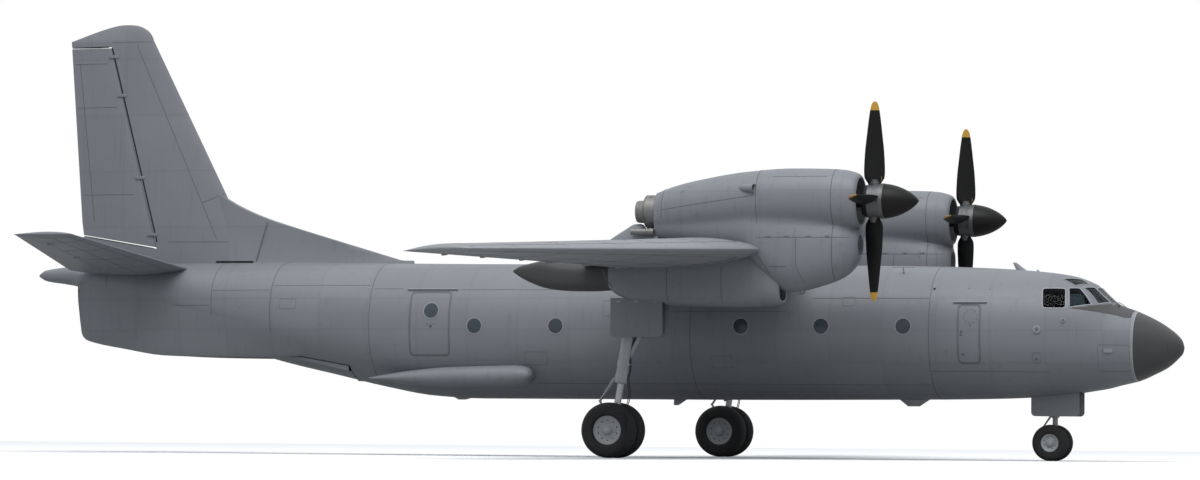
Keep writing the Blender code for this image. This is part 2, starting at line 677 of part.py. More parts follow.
def build_nacelle(side, sign):
    y = sign * NACELLE_Y
    axis = (1, 0, 0)
    cowl = cowling_solid(f"engine_cowling_{side}", y)
    # The engine bay is open at the front ring and holds the engine at its rear bore
    bay_profile = [(3.50, 0.3603), (3.95, 0.3603), (4.02, 0.468), (5.95, 0.468), (6.06, 0.43), (6.75, 0.45)]
    bay = turned(f"engine_bay_{side}", bay_profile, (0, y, THRUST_LINE), axis, BARE_METAL)
    cooler = loft(
        f"cooler_intake_{side}",
        [oval(x, y, 4.19, 3.87, 0.20, 2.0, 16) for x in (6.15, 6.80)],
        BARE_METAL,
    )
    jet_pipe = (0, y, JET_PIPE_LEVEL)
    jet_seat = turned(f"jet_seat_{side}", [(2.50, 0.25), (2.80, 0.25)], jet_pipe, axis, BARE_METAL)
    cut(cowl, bay, cooler, jet_seat, wing_cutter())

    core = [(3.52, 0.30), (3.60, 0.36), (3.96, 0.36), (4.12, 0.46), (5.88, 0.46), (5.96, 0.34)]
    core += [(6.22, 0.28), (6.30, 0.22)]
    socket = SHAFT_RADIUS + SHAFT_GAP
    shaft_socket = [(6.36, socket), (SOCKET_END, socket), (SOCKET_END, 0.02)]
    turned(f"engine_{side}", core + shaft_socket, (0, y, THRUST_LINE), axis, BARE_METAL)

    nozzle = [(2.15, 0.20), (2.44, 0.20), (2.45, 0.05), (2.791, 0.05), (2.79, 0.2497), (2.5598, 0.2497)]
    shroud = [(2.5597, 0.315), (2.33, 0.315), (2.31, 0.235), (2.15, 0.225)]
    turned(f"exhaust_{side}", nozzle + shroud, jet_pipe, axis, BARE_METAL, ring=True)

    pod = loft(f"gear_pod_{side}", station_rings(GEAR_POD, y, 3.2, 16), GREY_PAINT)
    cut(
        pod,
        wing_cutter(),
        cowling_solid(f"cowl_over_pod_{side}", y, SEAT_GAP),
        block(f"leg_bay_{side}", (1.66, y - LEG_BAY_HALF, 2.6), (2.76, y + LEG_BAY_HALF, 3.40), GREY_PAINT),
        loft(f"pod_inlet_{side}", [oval(x, y, 3.42, 2.97, 0.26, 3.0, 20) for x in (4.55, 5.2)], GREY_PAINT),
    )
    for edge, way in (("inner", -sign), ("outer", sign)):
        near, far = y + way * (LEG_BAY_HALF - GEAR_DOOR_THICKNESS), y + way * (LEG_BAY_HALF - SEAT_GAP)
        low = (1.70, min(near, far), 2.28)
        high = (2.72, max(near, far), 3.02)
        block(f"main_gear_door_{edge}_{side}", low, high, GREY_PAINT)


def blade_rings(y, angle):
    """Rings of one propeller blade, as (radius, chord, thickness, blade angle in degrees)."""
    rows = (
        (0.20, 0.20, 0.12, 72),
        (0.34, 0.25, 0.11, 71),
        (0.42, 0.375, 0.09, 70),
        (0.56, 0.395, 0.075, 69),
        (0.90, 0.365, 0.055, 68),
        (1.24, 0.295, 0.040, 67),
        (1.58, 0.215, 0.028, 66),
        (1.76, 0.155, 0.020, 66),
        (PROP_RADIUS, 0.06, 0.012, 66),
    )
    turn = Matrix.Rotation(angle, 3, "X")
    rings = []
    for radius, chord, thick, pitch in rows:
        lean = math.radians(pitch)
        ring = []
        for k in range(8):
            a = 2 * math.pi * k / 8
            u, v = chord / 2 * math.cos(a), thick / 2 * math.sin(a)
            ahead = u * math.sin(lean) - v * math.cos(lean)
            across = u * math.cos(lean) + v * math.sin(lean)
            local = Vector((ahead, across, radius))
            ring.append(Vector((PROP_PLANE, y, THRUST_LINE)) + turn @ local)
        rings.append(ring)
    return rings


def build_propeller(side, sign):
    y = sign * NACELLE_Y
    centre = (0, y, THRUST_LINE)
    pivot = (PROP_PLANE, y, THRUST_LINE)
    heel = SOCKET_END + SHAFT_END_GAP
    shaft = [(heel, 0.10), (heel + 0.006, SHAFT_RADIUS), (6.55, SHAFT_RADIUS)]
    hub = shaft + [(6.56, 0.29), (6.60, 0.305), (6.8797, 0.32)]
    propeller = turned(f"propeller_{side}", hub, centre, (1, 0, 0), BLADE_PAINT, 20, pivot)
    for k in range(4):
        fuse(propeller, loft(f"blade_{side}_{k}", blade_rings(y, k * math.pi / 2), BLADE_PAINT))
    length = SPINNER_TIP - SPINNER_BASE
    cone = []
    for t in (0.0, 0.2, 0.45, 0.7, 0.88, 0.97, 1.0):
        radius = SPINNER_RADIUS * (1 - t**1.65) ** 0.82
        cone.append((SPINNER_BASE + length * t, max(radius, 0.012)))
    turned(f"spinner_{side}", cone, centre, (1, 0, 0), SPINNER_PAINT, 24, pivot)


FIN = Panel((4.46, -7.37, -10.94, 0.0), (8.45, -9.42, -11.25, 0.0), (0.105, 0.09), upright=True)

# Dorsal fin ahead of the fin, as (x, top, half width)
DORSAL = (
    (-3.72, 3.84, 0.015),
    (-5.05, 4.23, 0.05),
    (-6.17, 4.56, 0.08),
    (-6.87, 4.78, 0.11),
    (-7.45, 5.02, 0.13),
    (-8.10, 5.40, 0.12),
)
RUDDER_SPAN = (4.20, 8.30)
RUDDER_HINGE = ((4.14, -9.31), (8.45, -10.41))
RUDDER_FOOT_SLOPE = 0.16
RUDDER_END_GAP, RUDDER_GAP = 0.036, 0.020


def fin_hinge_fraction(z):
    t = (z - RUDDER_HINGE[0][0]) / (RUDDER_HINGE[1][0] - RUDDER_HINGE[0][0])
    front, back, _, _ = FIN.place(z)
    return (front - blend(RUDDER_HINGE[0][1], RUDDER_HINGE[1][1], t)) / (front - back)


def rudder_foot(ring, drop=0.0):
    """Tilts a level ring about the hinge, because the rudder's foot rises towards its trailing edge."""
    heel = RUDDER_HINGE[0][1]
    return [(x, y, z - drop + RUDDER_FOOT_SLOPE * (heel - x)) for x, y, z in ring]


# Hollows inside the fin and the tailplanes, open only at the root, as (front, rear, half widths there)
FIN_HOLLOW = ((3.60, -7.60, -8.88, 0.10, 0.145), (7.60, -9.35, -9.95, 0.045, 0.065))
TAILPLANE_HOLLOW = ((0.30, 3.68, -8.79, -9.62, 0.06, 0.10), (4.00, 4.118, -9.145, -9.576, 0.025, 0.045))


def build_fin():
    top_cap = Panel((8.45, -9.42, -11.25, 0.0), (8.78, -9.86, -10.60, 0.0), (0.09, 0.09), upright=True)
    rings = [FIN.outline(z) for z in (3.70, 4.46, 6.60, 8.45)]
    rings += [top_cap.outline(z) for z in (8.63, 8.74, 8.78)]
    fin = loft("fin", rings, GREY_PAINT)
    dorsal = []
    for x, top, half in DORSAL:
        foot, crest = half + 0.05, half * 0.5
        dorsal.append([(x, -foot, 3.66), (x, foot, 3.66), (x, crest, top), (x, -crest, top)])
    fuse(fin, loft("dorsal_fin", dorsal, GREY_PAINT))
    low, high = RUDDER_SPAN
    bay = [FIN.bay(z, fin_hinge_fraction(z), 30, 30, RUDDER_GAP) for z in (low, high + RUDDER_END_GAP)]
    bay[0] = rudder_foot(bay[0], drop=RUDDER_END_GAP)
    hollow = []
    for z, front, rear, front_half, rear_half in FIN_HOLLOW:
        hollow.append([(front, -front_half, z), (front, front_half, z)])
        hollow[-1] += [(rear, rear_half, z), (rear, -rear_half, z)]
    cut(
        fin,
        loft("rudder_bay", bay, GREY_PAINT),
        body_cutter(),
        loft("fin_hollow", hollow, BARE_METAL),
    )
    middle = (low + high) / 2
    x, level, _ = FIN.hinge(middle, fin_hinge_fraction(middle))
    rings = [FIN.flap(z, fin_hinge_fraction(z)) for z in (low, high)]
    rings[0] = rudder_foot(rings[0])
    rudder = loft("rudder", rings, GREY_PAINT, (x, level, middle))
    pin_reach = RUDDER_END_GAP - PIN_END_GAP
    for name, root, tip in (("foot", low + 0.2, low), ("head", high - 0.2, high + pin_reach)):
        rings = []
        for z, size in ((root, 1.0), (tip, 0.3)):
            px = FIN.hinge(z, fin_hinge_fraction(z))[0]
            rings.append([(px + c * size, e * size, z) for c, e in PIN_SECTION])
        if name == "foot":
            rings[1] = rudder_foot(rings[1], drop=pin_reach)
        fuse(rudder, loft(f"rudder_pin_{name}", rings, BARE_METAL))


def build_tailplane(side, sign):
    root = (sign * 0.30, TAILPLANE_ROOT_LE, TAILPLANE_ROOT_TE, TAILPLANE_ROOT_Z)
    tip = (sign * TAILPLANE_HALF_SPAN, TAILPLANE_TIP_LE, TAILPLANE_TIP_TE, TAILPLANE_TIP_Z)
    panel = Panel(root, tip, (0.105, 0.10), upright=False)
    tailplane = panel.solid(f"tailplane_{side}", (root[0], sign * 4.9, tip[0]), GREY_PAINT)
    inner, outer, s = sign * 0.80, sign * 4.85, 0.64
    hollow = []
    for y, z, front, rear, front_half, rear_half in TAILPLANE_HOLLOW:
        y *= sign
        hollow.append([(front, y, z - front_half), (front, y, z + front_half)])
        hollow[-1] += [(rear, y, z + rear_half), (rear, y, z - rear_half)]
    cut(
        tailplane,
        panel.bay_cutter(f"elevator_bay_{side}", inner, outer, s, 30, 30, 0.02),
        body_cutter(),
        loft(f"tailplane_hollow_{side}", hollow, BARE_METAL),
    )
    panel.control(f"elevator_{side}", inner, outer, s, 0.02, GREY_PAINT)


# A wheel stands on a flat side, half a step from its corners
RIM_SHARE, LIP_WIDTH, LIP_RISE = 0.62, 0.020, 0.012
WHEEL_SEGMENTS, WHEEL_TURN = 24, 0.5


def wheel_set(name, centre, rim_radius, offset, half_width, axle_radius, paint):
    """Two rims and the axle that joins them, turned as one piece."""
    inner, outer = offset - half_width * RIM_SHARE, offset + half_width * RIM_SHARE
    lip = rim_radius + LIP_RISE
    outer_seat, inner_seat = outer - LIP_WIDTH, inner + LIP_WIDTH
    profile = [(-outer, 0.05), (-outer, lip), (-outer_seat, lip), (-outer_seat, rim_radius)]
    profile += [(-inner_seat, rim_radius), (-inner_seat, lip), (-inner, lip), (-inner, axle_radius)]
    profile += [(-s, r) for s, r in reversed(profile)]
    return turned(name, profile, centre, (0, 1, 0), paint, WHEEL_SEGMENTS, centre, turn=WHEEL_TURN)


def tyre(name, centre, radius, rim_radius, width, pivot):
    """A tyre with a rounded section, whose beads sit between the lips of its rim."""
    half, seat = width / 2, rim_radius + SEAT_GAP
    bead = half * RIM_SHARE - LIP_WIDTH - SEAT_GAP
    shoulder, crown = seat + LIP_RISE, radius / math.cos(math.pi / WHEEL_SEGMENTS)
    profile = [(-bead, seat), (-bead, shoulder)]
    for s, r in ((-0.80, 0.06), (-1.0, 0.42), (-0.90, 0.82), (-0.50, 1.0)):
        profile.append((s * half, shoulder + r * (crown - shoulder)))
    profile += [(-s, r) for s, r in reversed(profile)]
    return turned(name, profile, centre, (0, 1, 0), RUBBER, WHEEL_SEGMENTS, pivot, ring=True, turn=WHEEL_TURN)


def build_wheels(name, centre, radius, width, offset, rim_radius, axle_radius):
    x, y, z = centre
    wheel_set(f"{name}_wheels", centre, rim_radius, offset, width / 2, axle_radius, GEAR_PAINT)
    for tag, way in (("right", -1), ("left", 1)):
        tyre(f"{name}_tyre_{tag}", (x, y + way * offset, z), radius, rim_radius, width, centre)


def build_main_gear(side, sign):
    y = sign * NACELLE_Y
    axle = (MAIN_AXLE[0], y, MAIN_AXLE[1])
    sizes = (MAIN_TYRE_RADIUS, MAIN_TYRE_WIDTH, MAIN_TYRE_OFFSET, MAIN_RIM_RADIUS, MAIN_AXLE_RADIUS)
    build_wheels(f"main_{side}", axle, *sizes)
    top = Vector((2.12, y, 3.20))
    bottom = Vector((MAIN_AXLE[0], y, MAIN_AXLE[1]))
    down = (bottom - top).normalized()
    cylinder = [(0.0, 0.10), (0.12, 0.115), (1.65, 0.115), (1.68, 0.13), (1.80, 0.13)]
    piston = [(1.82, 0.065), ((bottom - top).length, 0.065)]
    leg = turned(f"main_leg_{side}", cylinder + piston, top, down, GEAR_PAINT, 14)

    def crosswise(name, x, z, reach, radius, segments=10):
        return rod(f"{name}_{side}", (x, y - reach, z), (x, y + reach, z), radius, GEAR_PAINT, segments)

    bay_half = LEG_BAY_HALF - SEAT_GAP
    fuse(
        leg,
        crosswise("main_knuckle", axle[0], axle[2], 0.07, 0.10),
        crosswise("main_trunnion", top.x, top.z, bay_half, 0.075),
        rod(f"main_brace_{side}", top + down * 1.45, (2.70, y, 3.25), 0.04, GEAR_PAINT),
        crosswise("main_brace_pin", 2.66, 3.22, bay_half, 0.05),
    )
    cut(leg, crosswise("main_axle_bore", axle[0], axle[2], 0.3, MAIN_AXLE_RADIUS + AXLE_GAP, 20))


def build_nose_gear():
    x, z = NOSE_AXLE
    steer_x = x + 0.05
    sizes = (NOSE_TYRE_RADIUS, NOSE_TYRE_WIDTH, NOSE_TYRE_OFFSET, NOSE_RIM_RADIUS, NOSE_AXLE_RADIUS)
    build_wheels("nose", (x, 0.0, z), *sizes)
    up, down = (0, 0, 1), (0, 0, -1)
    leg_top, leg_length = 1.55, 0.60
    cylinder = [(0.0, 0.07), (0.0001, 0.085), (0.52, 0.085), (0.53, 0.10), (leg_length, 0.10)]
    leg = turned("nose_leg", cylinder, (steer_x, 0, leg_top), down, GEAR_PAINT, 16)
    bay_half = NOSE_BAY_HALF - SEAT_GAP
    fuse(
        leg,
        rod("nose_trunnion", (steer_x, -bay_half, 1.47), (steer_x, bay_half, 1.47), 0.06, GEAR_PAINT),
        rod("nose_brace", (steer_x, 0, 1.10), (9.86, 0, 1.44), 0.035, GEAR_PAINT),
        rod("nose_brace_pin", (9.85, -bay_half, 1.44), (9.85, bay_half, 1.44), 0.045, GEAR_PAINT),
    )
    foot = leg_top - leg_length - SEAT_GAP
    piston = [(0.0, 0.055), (foot - z, 0.055)]
    fork = turned("nose_fork", piston, (steer_x, 0, z), up, GEAR_PAINT, 16, (steer_x, 0, z))
    fuse(
        fork,
        rod("nose_knuckle", (x, -0.062, z), (x, 0.062, z), 0.085, GEAR_PAINT),
        turned("nose_collar", [(foot - 0.10, 0.09), (foot, 0.09)], (steer_x, 0, 0), up, GEAR_PAINT, 16),
    )
    bore_radius = NOSE_AXLE_RADIUS + AXLE_GAP
    cut(fork, rod("nose_axle_bore", (x, -0.3, z), (x, 0.3, z), bore_radius, GEAR_PAINT, 20))
    for side, sign in SIDES:
        near, far = sorted((sign * (NOSE_BAY_HALF - GEAR_DOOR_THICKNESS), sign * bay_half))
        block(f"nose_gear_door_{side}", (8.98, near, 0.86), (9.92, far, 1.36), GREY_PAINT)


build_fuselage()
build_cockpit()
build_wing()
build_fin()
for side_name, side_sign in SIDES:
    build_nacelle(side_name, side_sign)
    build_propeller(side_name, side_sign)
    build_tailplane(side_name, side_sign)
    build_main_gear(side_name, side_sign)
build_nose_gear()
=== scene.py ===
# %% [markdown]
# A grey transport aeroplane with two propeller engines under a high wing, parked on its gear.
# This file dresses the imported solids: it loads them as a fixed frame, builds smooth skins over
# them, adds the small pieces, and gives each surface its finish. Metres, +X to the nose,
# +Y to port, +Z up, and the ground is at z = 0.

# %% Load the frame
import bisect
import functools
import math
import random

import bmesh
import bpy
from mathutils import Matrix, Vector


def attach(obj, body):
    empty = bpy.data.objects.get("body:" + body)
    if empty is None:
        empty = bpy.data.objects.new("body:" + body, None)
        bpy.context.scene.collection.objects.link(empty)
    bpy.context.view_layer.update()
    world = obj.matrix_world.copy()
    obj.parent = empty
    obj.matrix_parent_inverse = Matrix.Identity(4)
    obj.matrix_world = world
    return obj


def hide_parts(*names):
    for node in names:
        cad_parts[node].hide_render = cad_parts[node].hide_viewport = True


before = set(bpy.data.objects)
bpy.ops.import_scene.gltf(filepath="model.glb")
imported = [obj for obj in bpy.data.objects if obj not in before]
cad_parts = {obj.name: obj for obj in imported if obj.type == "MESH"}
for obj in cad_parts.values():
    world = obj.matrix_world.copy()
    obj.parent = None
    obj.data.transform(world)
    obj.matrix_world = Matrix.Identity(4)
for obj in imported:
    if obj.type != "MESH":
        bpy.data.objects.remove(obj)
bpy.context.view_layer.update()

# %% [markdown]
# The camera. The photo was taken from far away with a long lens, from the starboard side and a
# little ahead of the wing, so far pieces are hardly smaller than near ones. The camera stands at
# eye height above the floor, and its numbers were fitted to known lengths of the aeroplane.

# %% Camera
CAMERA_PLACE = Vector((26.688, -86.557, 0.5))
CAMERA_YAW, CAMERA_PITCH, CAMERA_ROLL = 0.297, 0.042, 0.008
CAMERA_LENS, SENSOR_WIDTH = 136.65, 36.0


def camera_turn():
    ahead = Vector((
        -math.sin(CAMERA_YAW) * math.cos(CAMERA_PITCH),
        math.cos(CAMERA_YAW) * math.cos(CAMERA_PITCH),
        math.sin(CAMERA_PITCH),
    ))
    level = Vector((math.cos(CAMERA_YAW), math.sin(CAMERA_YAW), 0))
    upward = level.cross(ahead)
    across = level * math.cos(CAMERA_ROLL) + upward * math.sin(CAMERA_ROLL)
    upright = upward * math.cos(CAMERA_ROLL) - level * math.sin(CAMERA_ROLL)
    return Matrix((across, upright, -ahead)).transposed()


lens = bpy.data.cameras.new("long_lens")
lens.lens, lens.sensor_width, lens.sensor_fit = CAMERA_LENS, SENSOR_WIDTH, "HORIZONTAL"
lens.clip_end = 2000
camera = bpy.data.objects.new("camera", lens)
camera.matrix_world = Matrix.Translation(CAMERA_PLACE) @ camera_turn().to_4x4()
bpy.context.scene.collection.objects.link(camera)
bpy.context.scene.camera = camera
print("camera", round(CAMERA_PLACE.length, 1), "m from the middle of the aeroplane")

# %% [markdown]
# The studio: a pale floor, a sky that is bright overhead and dim low down, which the camera sees as
# plain white, and one large soft light high above. Together they light the top of every round body
# and leave the belly in shade. The floor sends little light back up, though the camera sees it pale.

# %% Floor, sky and lights
def lit_or_seen(tree, lit, seen, end):
    """The camera sees one shader, and the other one lights the scene."""
    either, ray = tree.nodes.new("ShaderNodeMixShader"), tree.nodes.new("ShaderNodeLightPath")
    tree.links.new(ray.outputs["Is Camera Ray"], either.inputs["Fac"])
    for slot, shader in ((1, lit), (2, seen)):
        tree.links.new(shader.outputs[0], either.inputs[slot])
    tree.links.new(either.outputs["Shader"], tree.nodes[end].inputs["Surface"])


FLOOR_HALF, FLOOR_SEEN, FLOOR_LIT = 58.0, 0.98, 0.37
SKY_SHADE, SKY_LIGHT = (0.93, 0.96, 1.0), (0.30, 1.05)
KEY_PLACE, KEY_SIZE, KEY_POWER = (8.0, -30.0, 52.0), 40.0, 17000.0
KEY_AIM, KEY_COLOUR = (0, 0, 3), (1.0, 0.985, 0.96)

floor_mesh = bpy.data.meshes.new("floor")
corners = [(x, y, 0) for x, y in ((-1, -1), (1, -1), (1, 1), (-1, 1))]
floor_mesh.from_pydata([(x * FLOOR_HALF, y * FLOOR_HALF, z) for x, y, z in corners], [], [(0, 1, 2, 3)])
pale_floor = bpy.data.materials.new("pale_floor")
pale_floor.use_nodes = True
nodes = pale_floor.node_tree.nodes
nodes.remove(nodes["Principled BSDF"])
shades = [nodes.new("ShaderNodeBsdfDiffuse") for _ in range(2)]
for shade, value in zip(shades, (FLOOR_LIT, FLOOR_SEEN)):
    shade.inputs["Color"].default_value = (value, value, value, 1)
lit_or_seen(pale_floor.node_tree, *shades, "Material Output")
floor_mesh.materials.append(pale_floor)
floor = bpy.data.objects.new("floor", floor_mesh)
bpy.context.scene.collection.objects.link(floor)

sky = bpy.data.worlds.new("pale_sky")
bpy.context.scene.world = sky
sky.use_nodes = True
nodes, links = sky.node_tree.nodes, sky.node_tree.links
seen, lighting = nodes["Background"], nodes.new("ShaderNodeBackground")
seen.inputs["Color"].default_value = (1, 1, 1, 1)
seen.inputs["Strength"].default_value = 1.0
lighting.inputs["Color"].default_value = (*SKY_SHADE, 1)
heights, rise = nodes.new("ShaderNodeSeparateXYZ"), nodes.new("ShaderNodeMapRange")
links.new(nodes.new("ShaderNodeTexCoord").outputs["Generated"], heights.inputs[0])
links.new(heights.outputs["Z"], rise.inputs["Value"])
for label, number in zip(("From Min", "From Max", "To Min", "To Max"), (-0.15, 0.9, *SKY_LIGHT)):
    rise.inputs[label].default_value = number
links.new(rise.outputs["Result"], lighting.inputs["Strength"])
lit_or_seen(sky.node_tree, lighting, seen, "World Output")

key = bpy.data.lights.new("high_soft_light", "AREA")
key.energy, key.size, key.color = KEY_POWER, KEY_SIZE, KEY_COLOUR
key_lamp = bpy.data.objects.new("high_soft_light", key)
key_lamp.location = KEY_PLACE
key_lamp.rotation_euler = (Vector(KEY_AIM) - Vector(KEY_PLACE)).to_track_quat("-Z", "Y").to_euler()
bpy.context.scene.collection.objects.link(key_lamp)
bpy.context.scene.view_settings.view_transform = "Standard"
print("sky", SKY_LIGHT, "key light", KEY_POWER, "W over", KEY_SIZE, "m")

# %% [markdown]
# Shared effects as node groups. A group is built once with named sockets, and each material gives
# it its own values. `weathering` turns one paint colour into paint that has stood outdoors: broad
# clouds of fading, thin streaks that run down the sides, and fine grain. `panel_tint` gives every
# sheet of skin its own slight shade, because sheets are painted and replaced one by one. It also
# finds the edges of those sheets and the dotted lines of rivet heads beside them.

# %% Node groups
def new_group(name, inputs, outputs):
    """A node group with (name, socket type, default) inputs and (name, socket type) outputs."""
    group = bpy.data.node_groups.new(name, "ShaderNodeTree")
    for label, kind, default in inputs:
        socket = group.interface.new_socket(label, in_out="INPUT", socket_type=kind)
        socket.default_value = default
    for label, kind in outputs:
        group.interface.new_socket(label, in_out="OUTPUT", socket_type=kind)
    return group, group.nodes.new("NodeGroupInput"), group.nodes.new("NodeGroupOutput")


class Wiring:
    """Short hands for placing nodes in one tree and linking them."""

    def __init__(self, tree):
        self.tree = tree

    def node(self, kind, **settings):
        made = self.tree.nodes.new(kind)
        for key, value in settings.items():
            setattr(made, key, value)
        return made

    def feed(self, socket, value):
        if hasattr(value, "is_output"):
            self.tree.links.new(value, socket)
        else:
            socket.default_value = value

    def math(self, operation, a, b=0.0, c=0.0, clamp=False):
        made = self.node("ShaderNodeMath", operation=operation, use_clamp=clamp)
        for socket, value in zip(made.inputs, (a, b, c)):
            self.feed(socket, value)
        return made.outputs[0]

    def noise(self, vector, scale, detail=4.0, rough=0.55):
        made = self.node("ShaderNodeTexNoise")
        self.feed(made.inputs["Vector"], vector)
        self.feed(made.inputs["Scale"], scale)
        made.inputs["Detail"].default_value = detail
        made.inputs["Roughness"].default_value = rough
        return made.outputs["Fac"]

    def stretch(self, vector, scale):
        made = self.node("ShaderNodeMapping")
        self.feed(made.inputs["Vector"], vector)
        made.inputs["Scale"].default_value = scale
        return made.outputs["Vector"]

    def ramp(self, value, low, high, out_low=0.0, out_high=1.0):
        made = self.node("ShaderNodeMapRange", interpolation_type="SMOOTHSTEP")
        for label, number in zip(("Value", "From Min", "From Max", "To Min", "To Max"),
                                 (value, low, high, out_low, out_high)):
            self.feed(made.inputs[label], number)
        return made.outputs["Result"]

    def swing(self, value, amount):
        """A value between 0 and 1 as a swing to both sides of zero."""
        return self.math("MULTIPLY", self.math("SUBTRACT", value, 0.5), amount)

    def scaled(self, colour, gain):
        """A colour times one number."""
        level = self.node("ShaderNodeCombineXYZ")
        for socket in level.inputs:
            self.feed(socket, gain)
        made = self.node("ShaderNodeMix", data_type="RGBA", blend_type="MULTIPLY")
        for socket, value in zip((made.inputs["Factor"], *made.inputs[6:8]), (1.0, colour, level.outputs[0])):
            self.feed(socket, value)
        return made.outputs[2]

    def place(self):
        return self.node("ShaderNodeTexCoord").outputs["Object"]

    def axes(self, vector):
        made = self.node("ShaderNodeSeparateXYZ")
        self.feed(made.inputs[0], vector)
        return made.outputs

    def group(self, group, **values):
        made = self.node("ShaderNodeGroup", node_tree=group)
        for label, value in values.items():
            self.feed(made.inputs[label.replace("_", " ")], value)
        return made.outputs


FLOAT, COLOUR = "NodeSocketFloat", "NodeSocketColor"

weathering, given, result = new_group(
    "weathering",
    (("Colour", COLOUR, (0.2, 0.2, 0.2, 1)), ("Fading", FLOAT, 0.1), ("Streaks", FLOAT, 0.1),
     ("Grime", FLOAT, 0.1), ("Roughness", FLOAT, 0.5)),
    (("Colour", COLOUR), ("Roughness", FLOAT), ("Height", FLOAT)),
)
w = Wiring(weathering)
here = w.place()
clouds = w.noise(here, 0.55, 5.0)
mottle = w.noise(here, 3.2, 5.0, 0.6)
drips = w.noise(w.stretch(here, (5.0, 5.0, 0.45)), 2.0, 3.0)
grain = w.noise(here, 60.0, 2.0)
spots = w.noise(here, 11.0, 6.0, 0.7)
shade = w.swing(clouds, given.outputs["Fading"])
shade = w.math("ADD", shade, w.swing(mottle, 0.05))
shade = w.math("ADD", shade, w.swing(grain, 0.02))
dirt = w.math("MULTIPLY", w.ramp(spots, 0.58, 0.80), given.outputs["Grime"])
for darker in (w.math("MULTIPLY", w.ramp(drips, 0.56, 0.75), given.outputs["Streaks"]), dirt):
    shade = w.math("SUBTRACT", shade, darker)
w.feed(result.inputs["Colour"], w.scaled(given.outputs["Colour"], w.math("ADD", shade, 1.0)))
rough = w.math("ADD", given.outputs["Roughness"], w.swing(mottle, 0.25))
w.feed(result.inputs["Roughness"], w.math("ADD", rough, w.math("MULTIPLY", dirt, 0.6), clamp=True))
w.feed(result.inputs["Height"], w.math("ADD", w.math("MULTIPLY", grain, 0.25), mottle))

panel_tint, given, result = new_group(
    "panel_tint",
    (("Length", FLOAT, 1.0), ("Height", FLOAT, 0.8), ("Strength", FLOAT, 0.05)),
    (("Gain", FLOAT), ("Edge", FLOAT), ("Rivets", FLOAT)),
)
w = Wiring(panel_tint)
x, y, z = w.axes(w.place())
turn = w.math("ARCTAN2", y, w.math("SUBTRACT", z, 2.5))
column, row = w.math("DIVIDE", x, given.outputs["Length"]), w.math("DIVIDE", z, given.outputs["Height"])
cell = w.node("ShaderNodeCombineXYZ")
for socket, number in zip(cell.inputs, (w.math("FLOOR", column), w.math("FLOOR", row), w.math("SIGN", y))):
    w.feed(socket, number)
lottery = w.node("ShaderNodeTexWhiteNoise")
w.feed(lottery.inputs["Vector"], cell.outputs[0])
tint = w.swing(lottery.outputs["Value"], given.outputs["Strength"])
w.feed(result.inputs["Gain"], w.math("ADD", tint, 1.0))


def edge_distance(share, size):
    """How far a point is from the nearest sheet edge, in metres."""
    inside = w.math("ABSOLUTE", w.math("SUBTRACT", w.math("FRACT", share), 0.5))
    return w.math("MULTIPLY", w.math("SUBTRACT", 0.5, inside), size)


edge_x, edge_z = edge_distance(column, given.outputs["Length"]), edge_distance(row, given.outputs["Height"])
nearest = w.math("MINIMUM", edge_x, edge_z)
w.feed(result.inputs["Edge"], w.ramp(nearest, 0.004, 0.012, 1.0, 0.0))
RIVET_PITCH, RIVET_INSET, RIVET_RADIUS = 0.055, 0.035, 0.011


def rivet_line(across, along_edge):
    """Dots at an even pitch, on a line that runs beside a sheet edge."""
    beat = w.math("SUBTRACT", w.math("FRACT", w.math("DIVIDE", along_edge, RIVET_PITCH)), 0.5)
    dx = w.math("MULTIPLY", beat, RIVET_PITCH)
    dy = w.math("SUBTRACT", across, RIVET_INSET)
    far = w.math("SQRT", w.math("ADD", w.math("MULTIPLY", dx, dx), w.math("MULTIPLY", dy, dy)))
    return w.ramp(far, RIVET_RADIUS * 0.4, RIVET_RADIUS, 1.0, 0.0)


around = w.math("MULTIPLY", turn, 1.4)
rivets = w.math("MAXIMUM", rivet_line(edge_x, around), rivet_line(edge_z, x))
w.feed(result.inputs["Rivets"], rivets)
print("node groups", [g.name for g in bpy.data.node_groups])

# %% [markdown]
# The paints. The aeroplane wears one mid grey, so its finish has to live from small changes: each
# body part uses the same groups with its own sheet size. The sheet edges and rivets go to the
# Height of a Bump node, and darken the paint a little where dirt collects.

# %% Painted finishes
GREY = (0.205, 0.218, 0.240)


def new_material(name):
    """(material, its wiring, its main shader)."""
    made = bpy.data.materials.new(name)
    made.use_nodes = True
    return made, Wiring(made.node_tree), made.node_tree.nodes["Principled BSDF"]


def uneven(w, shader, roughness, height, strength, depth):
    """An uneven gloss, and a fine relief from a Bump node."""
    w.feed(shader.inputs["Roughness"], roughness)
    bump = w.node("ShaderNodeBump")
    bump.inputs["Strength"].default_value = strength
    bump.inputs["Distance"].default_value = depth
    w.feed(bump.inputs["Height"], height)
    w.feed(shader.inputs["Normal"], bump.outputs["Normal"])


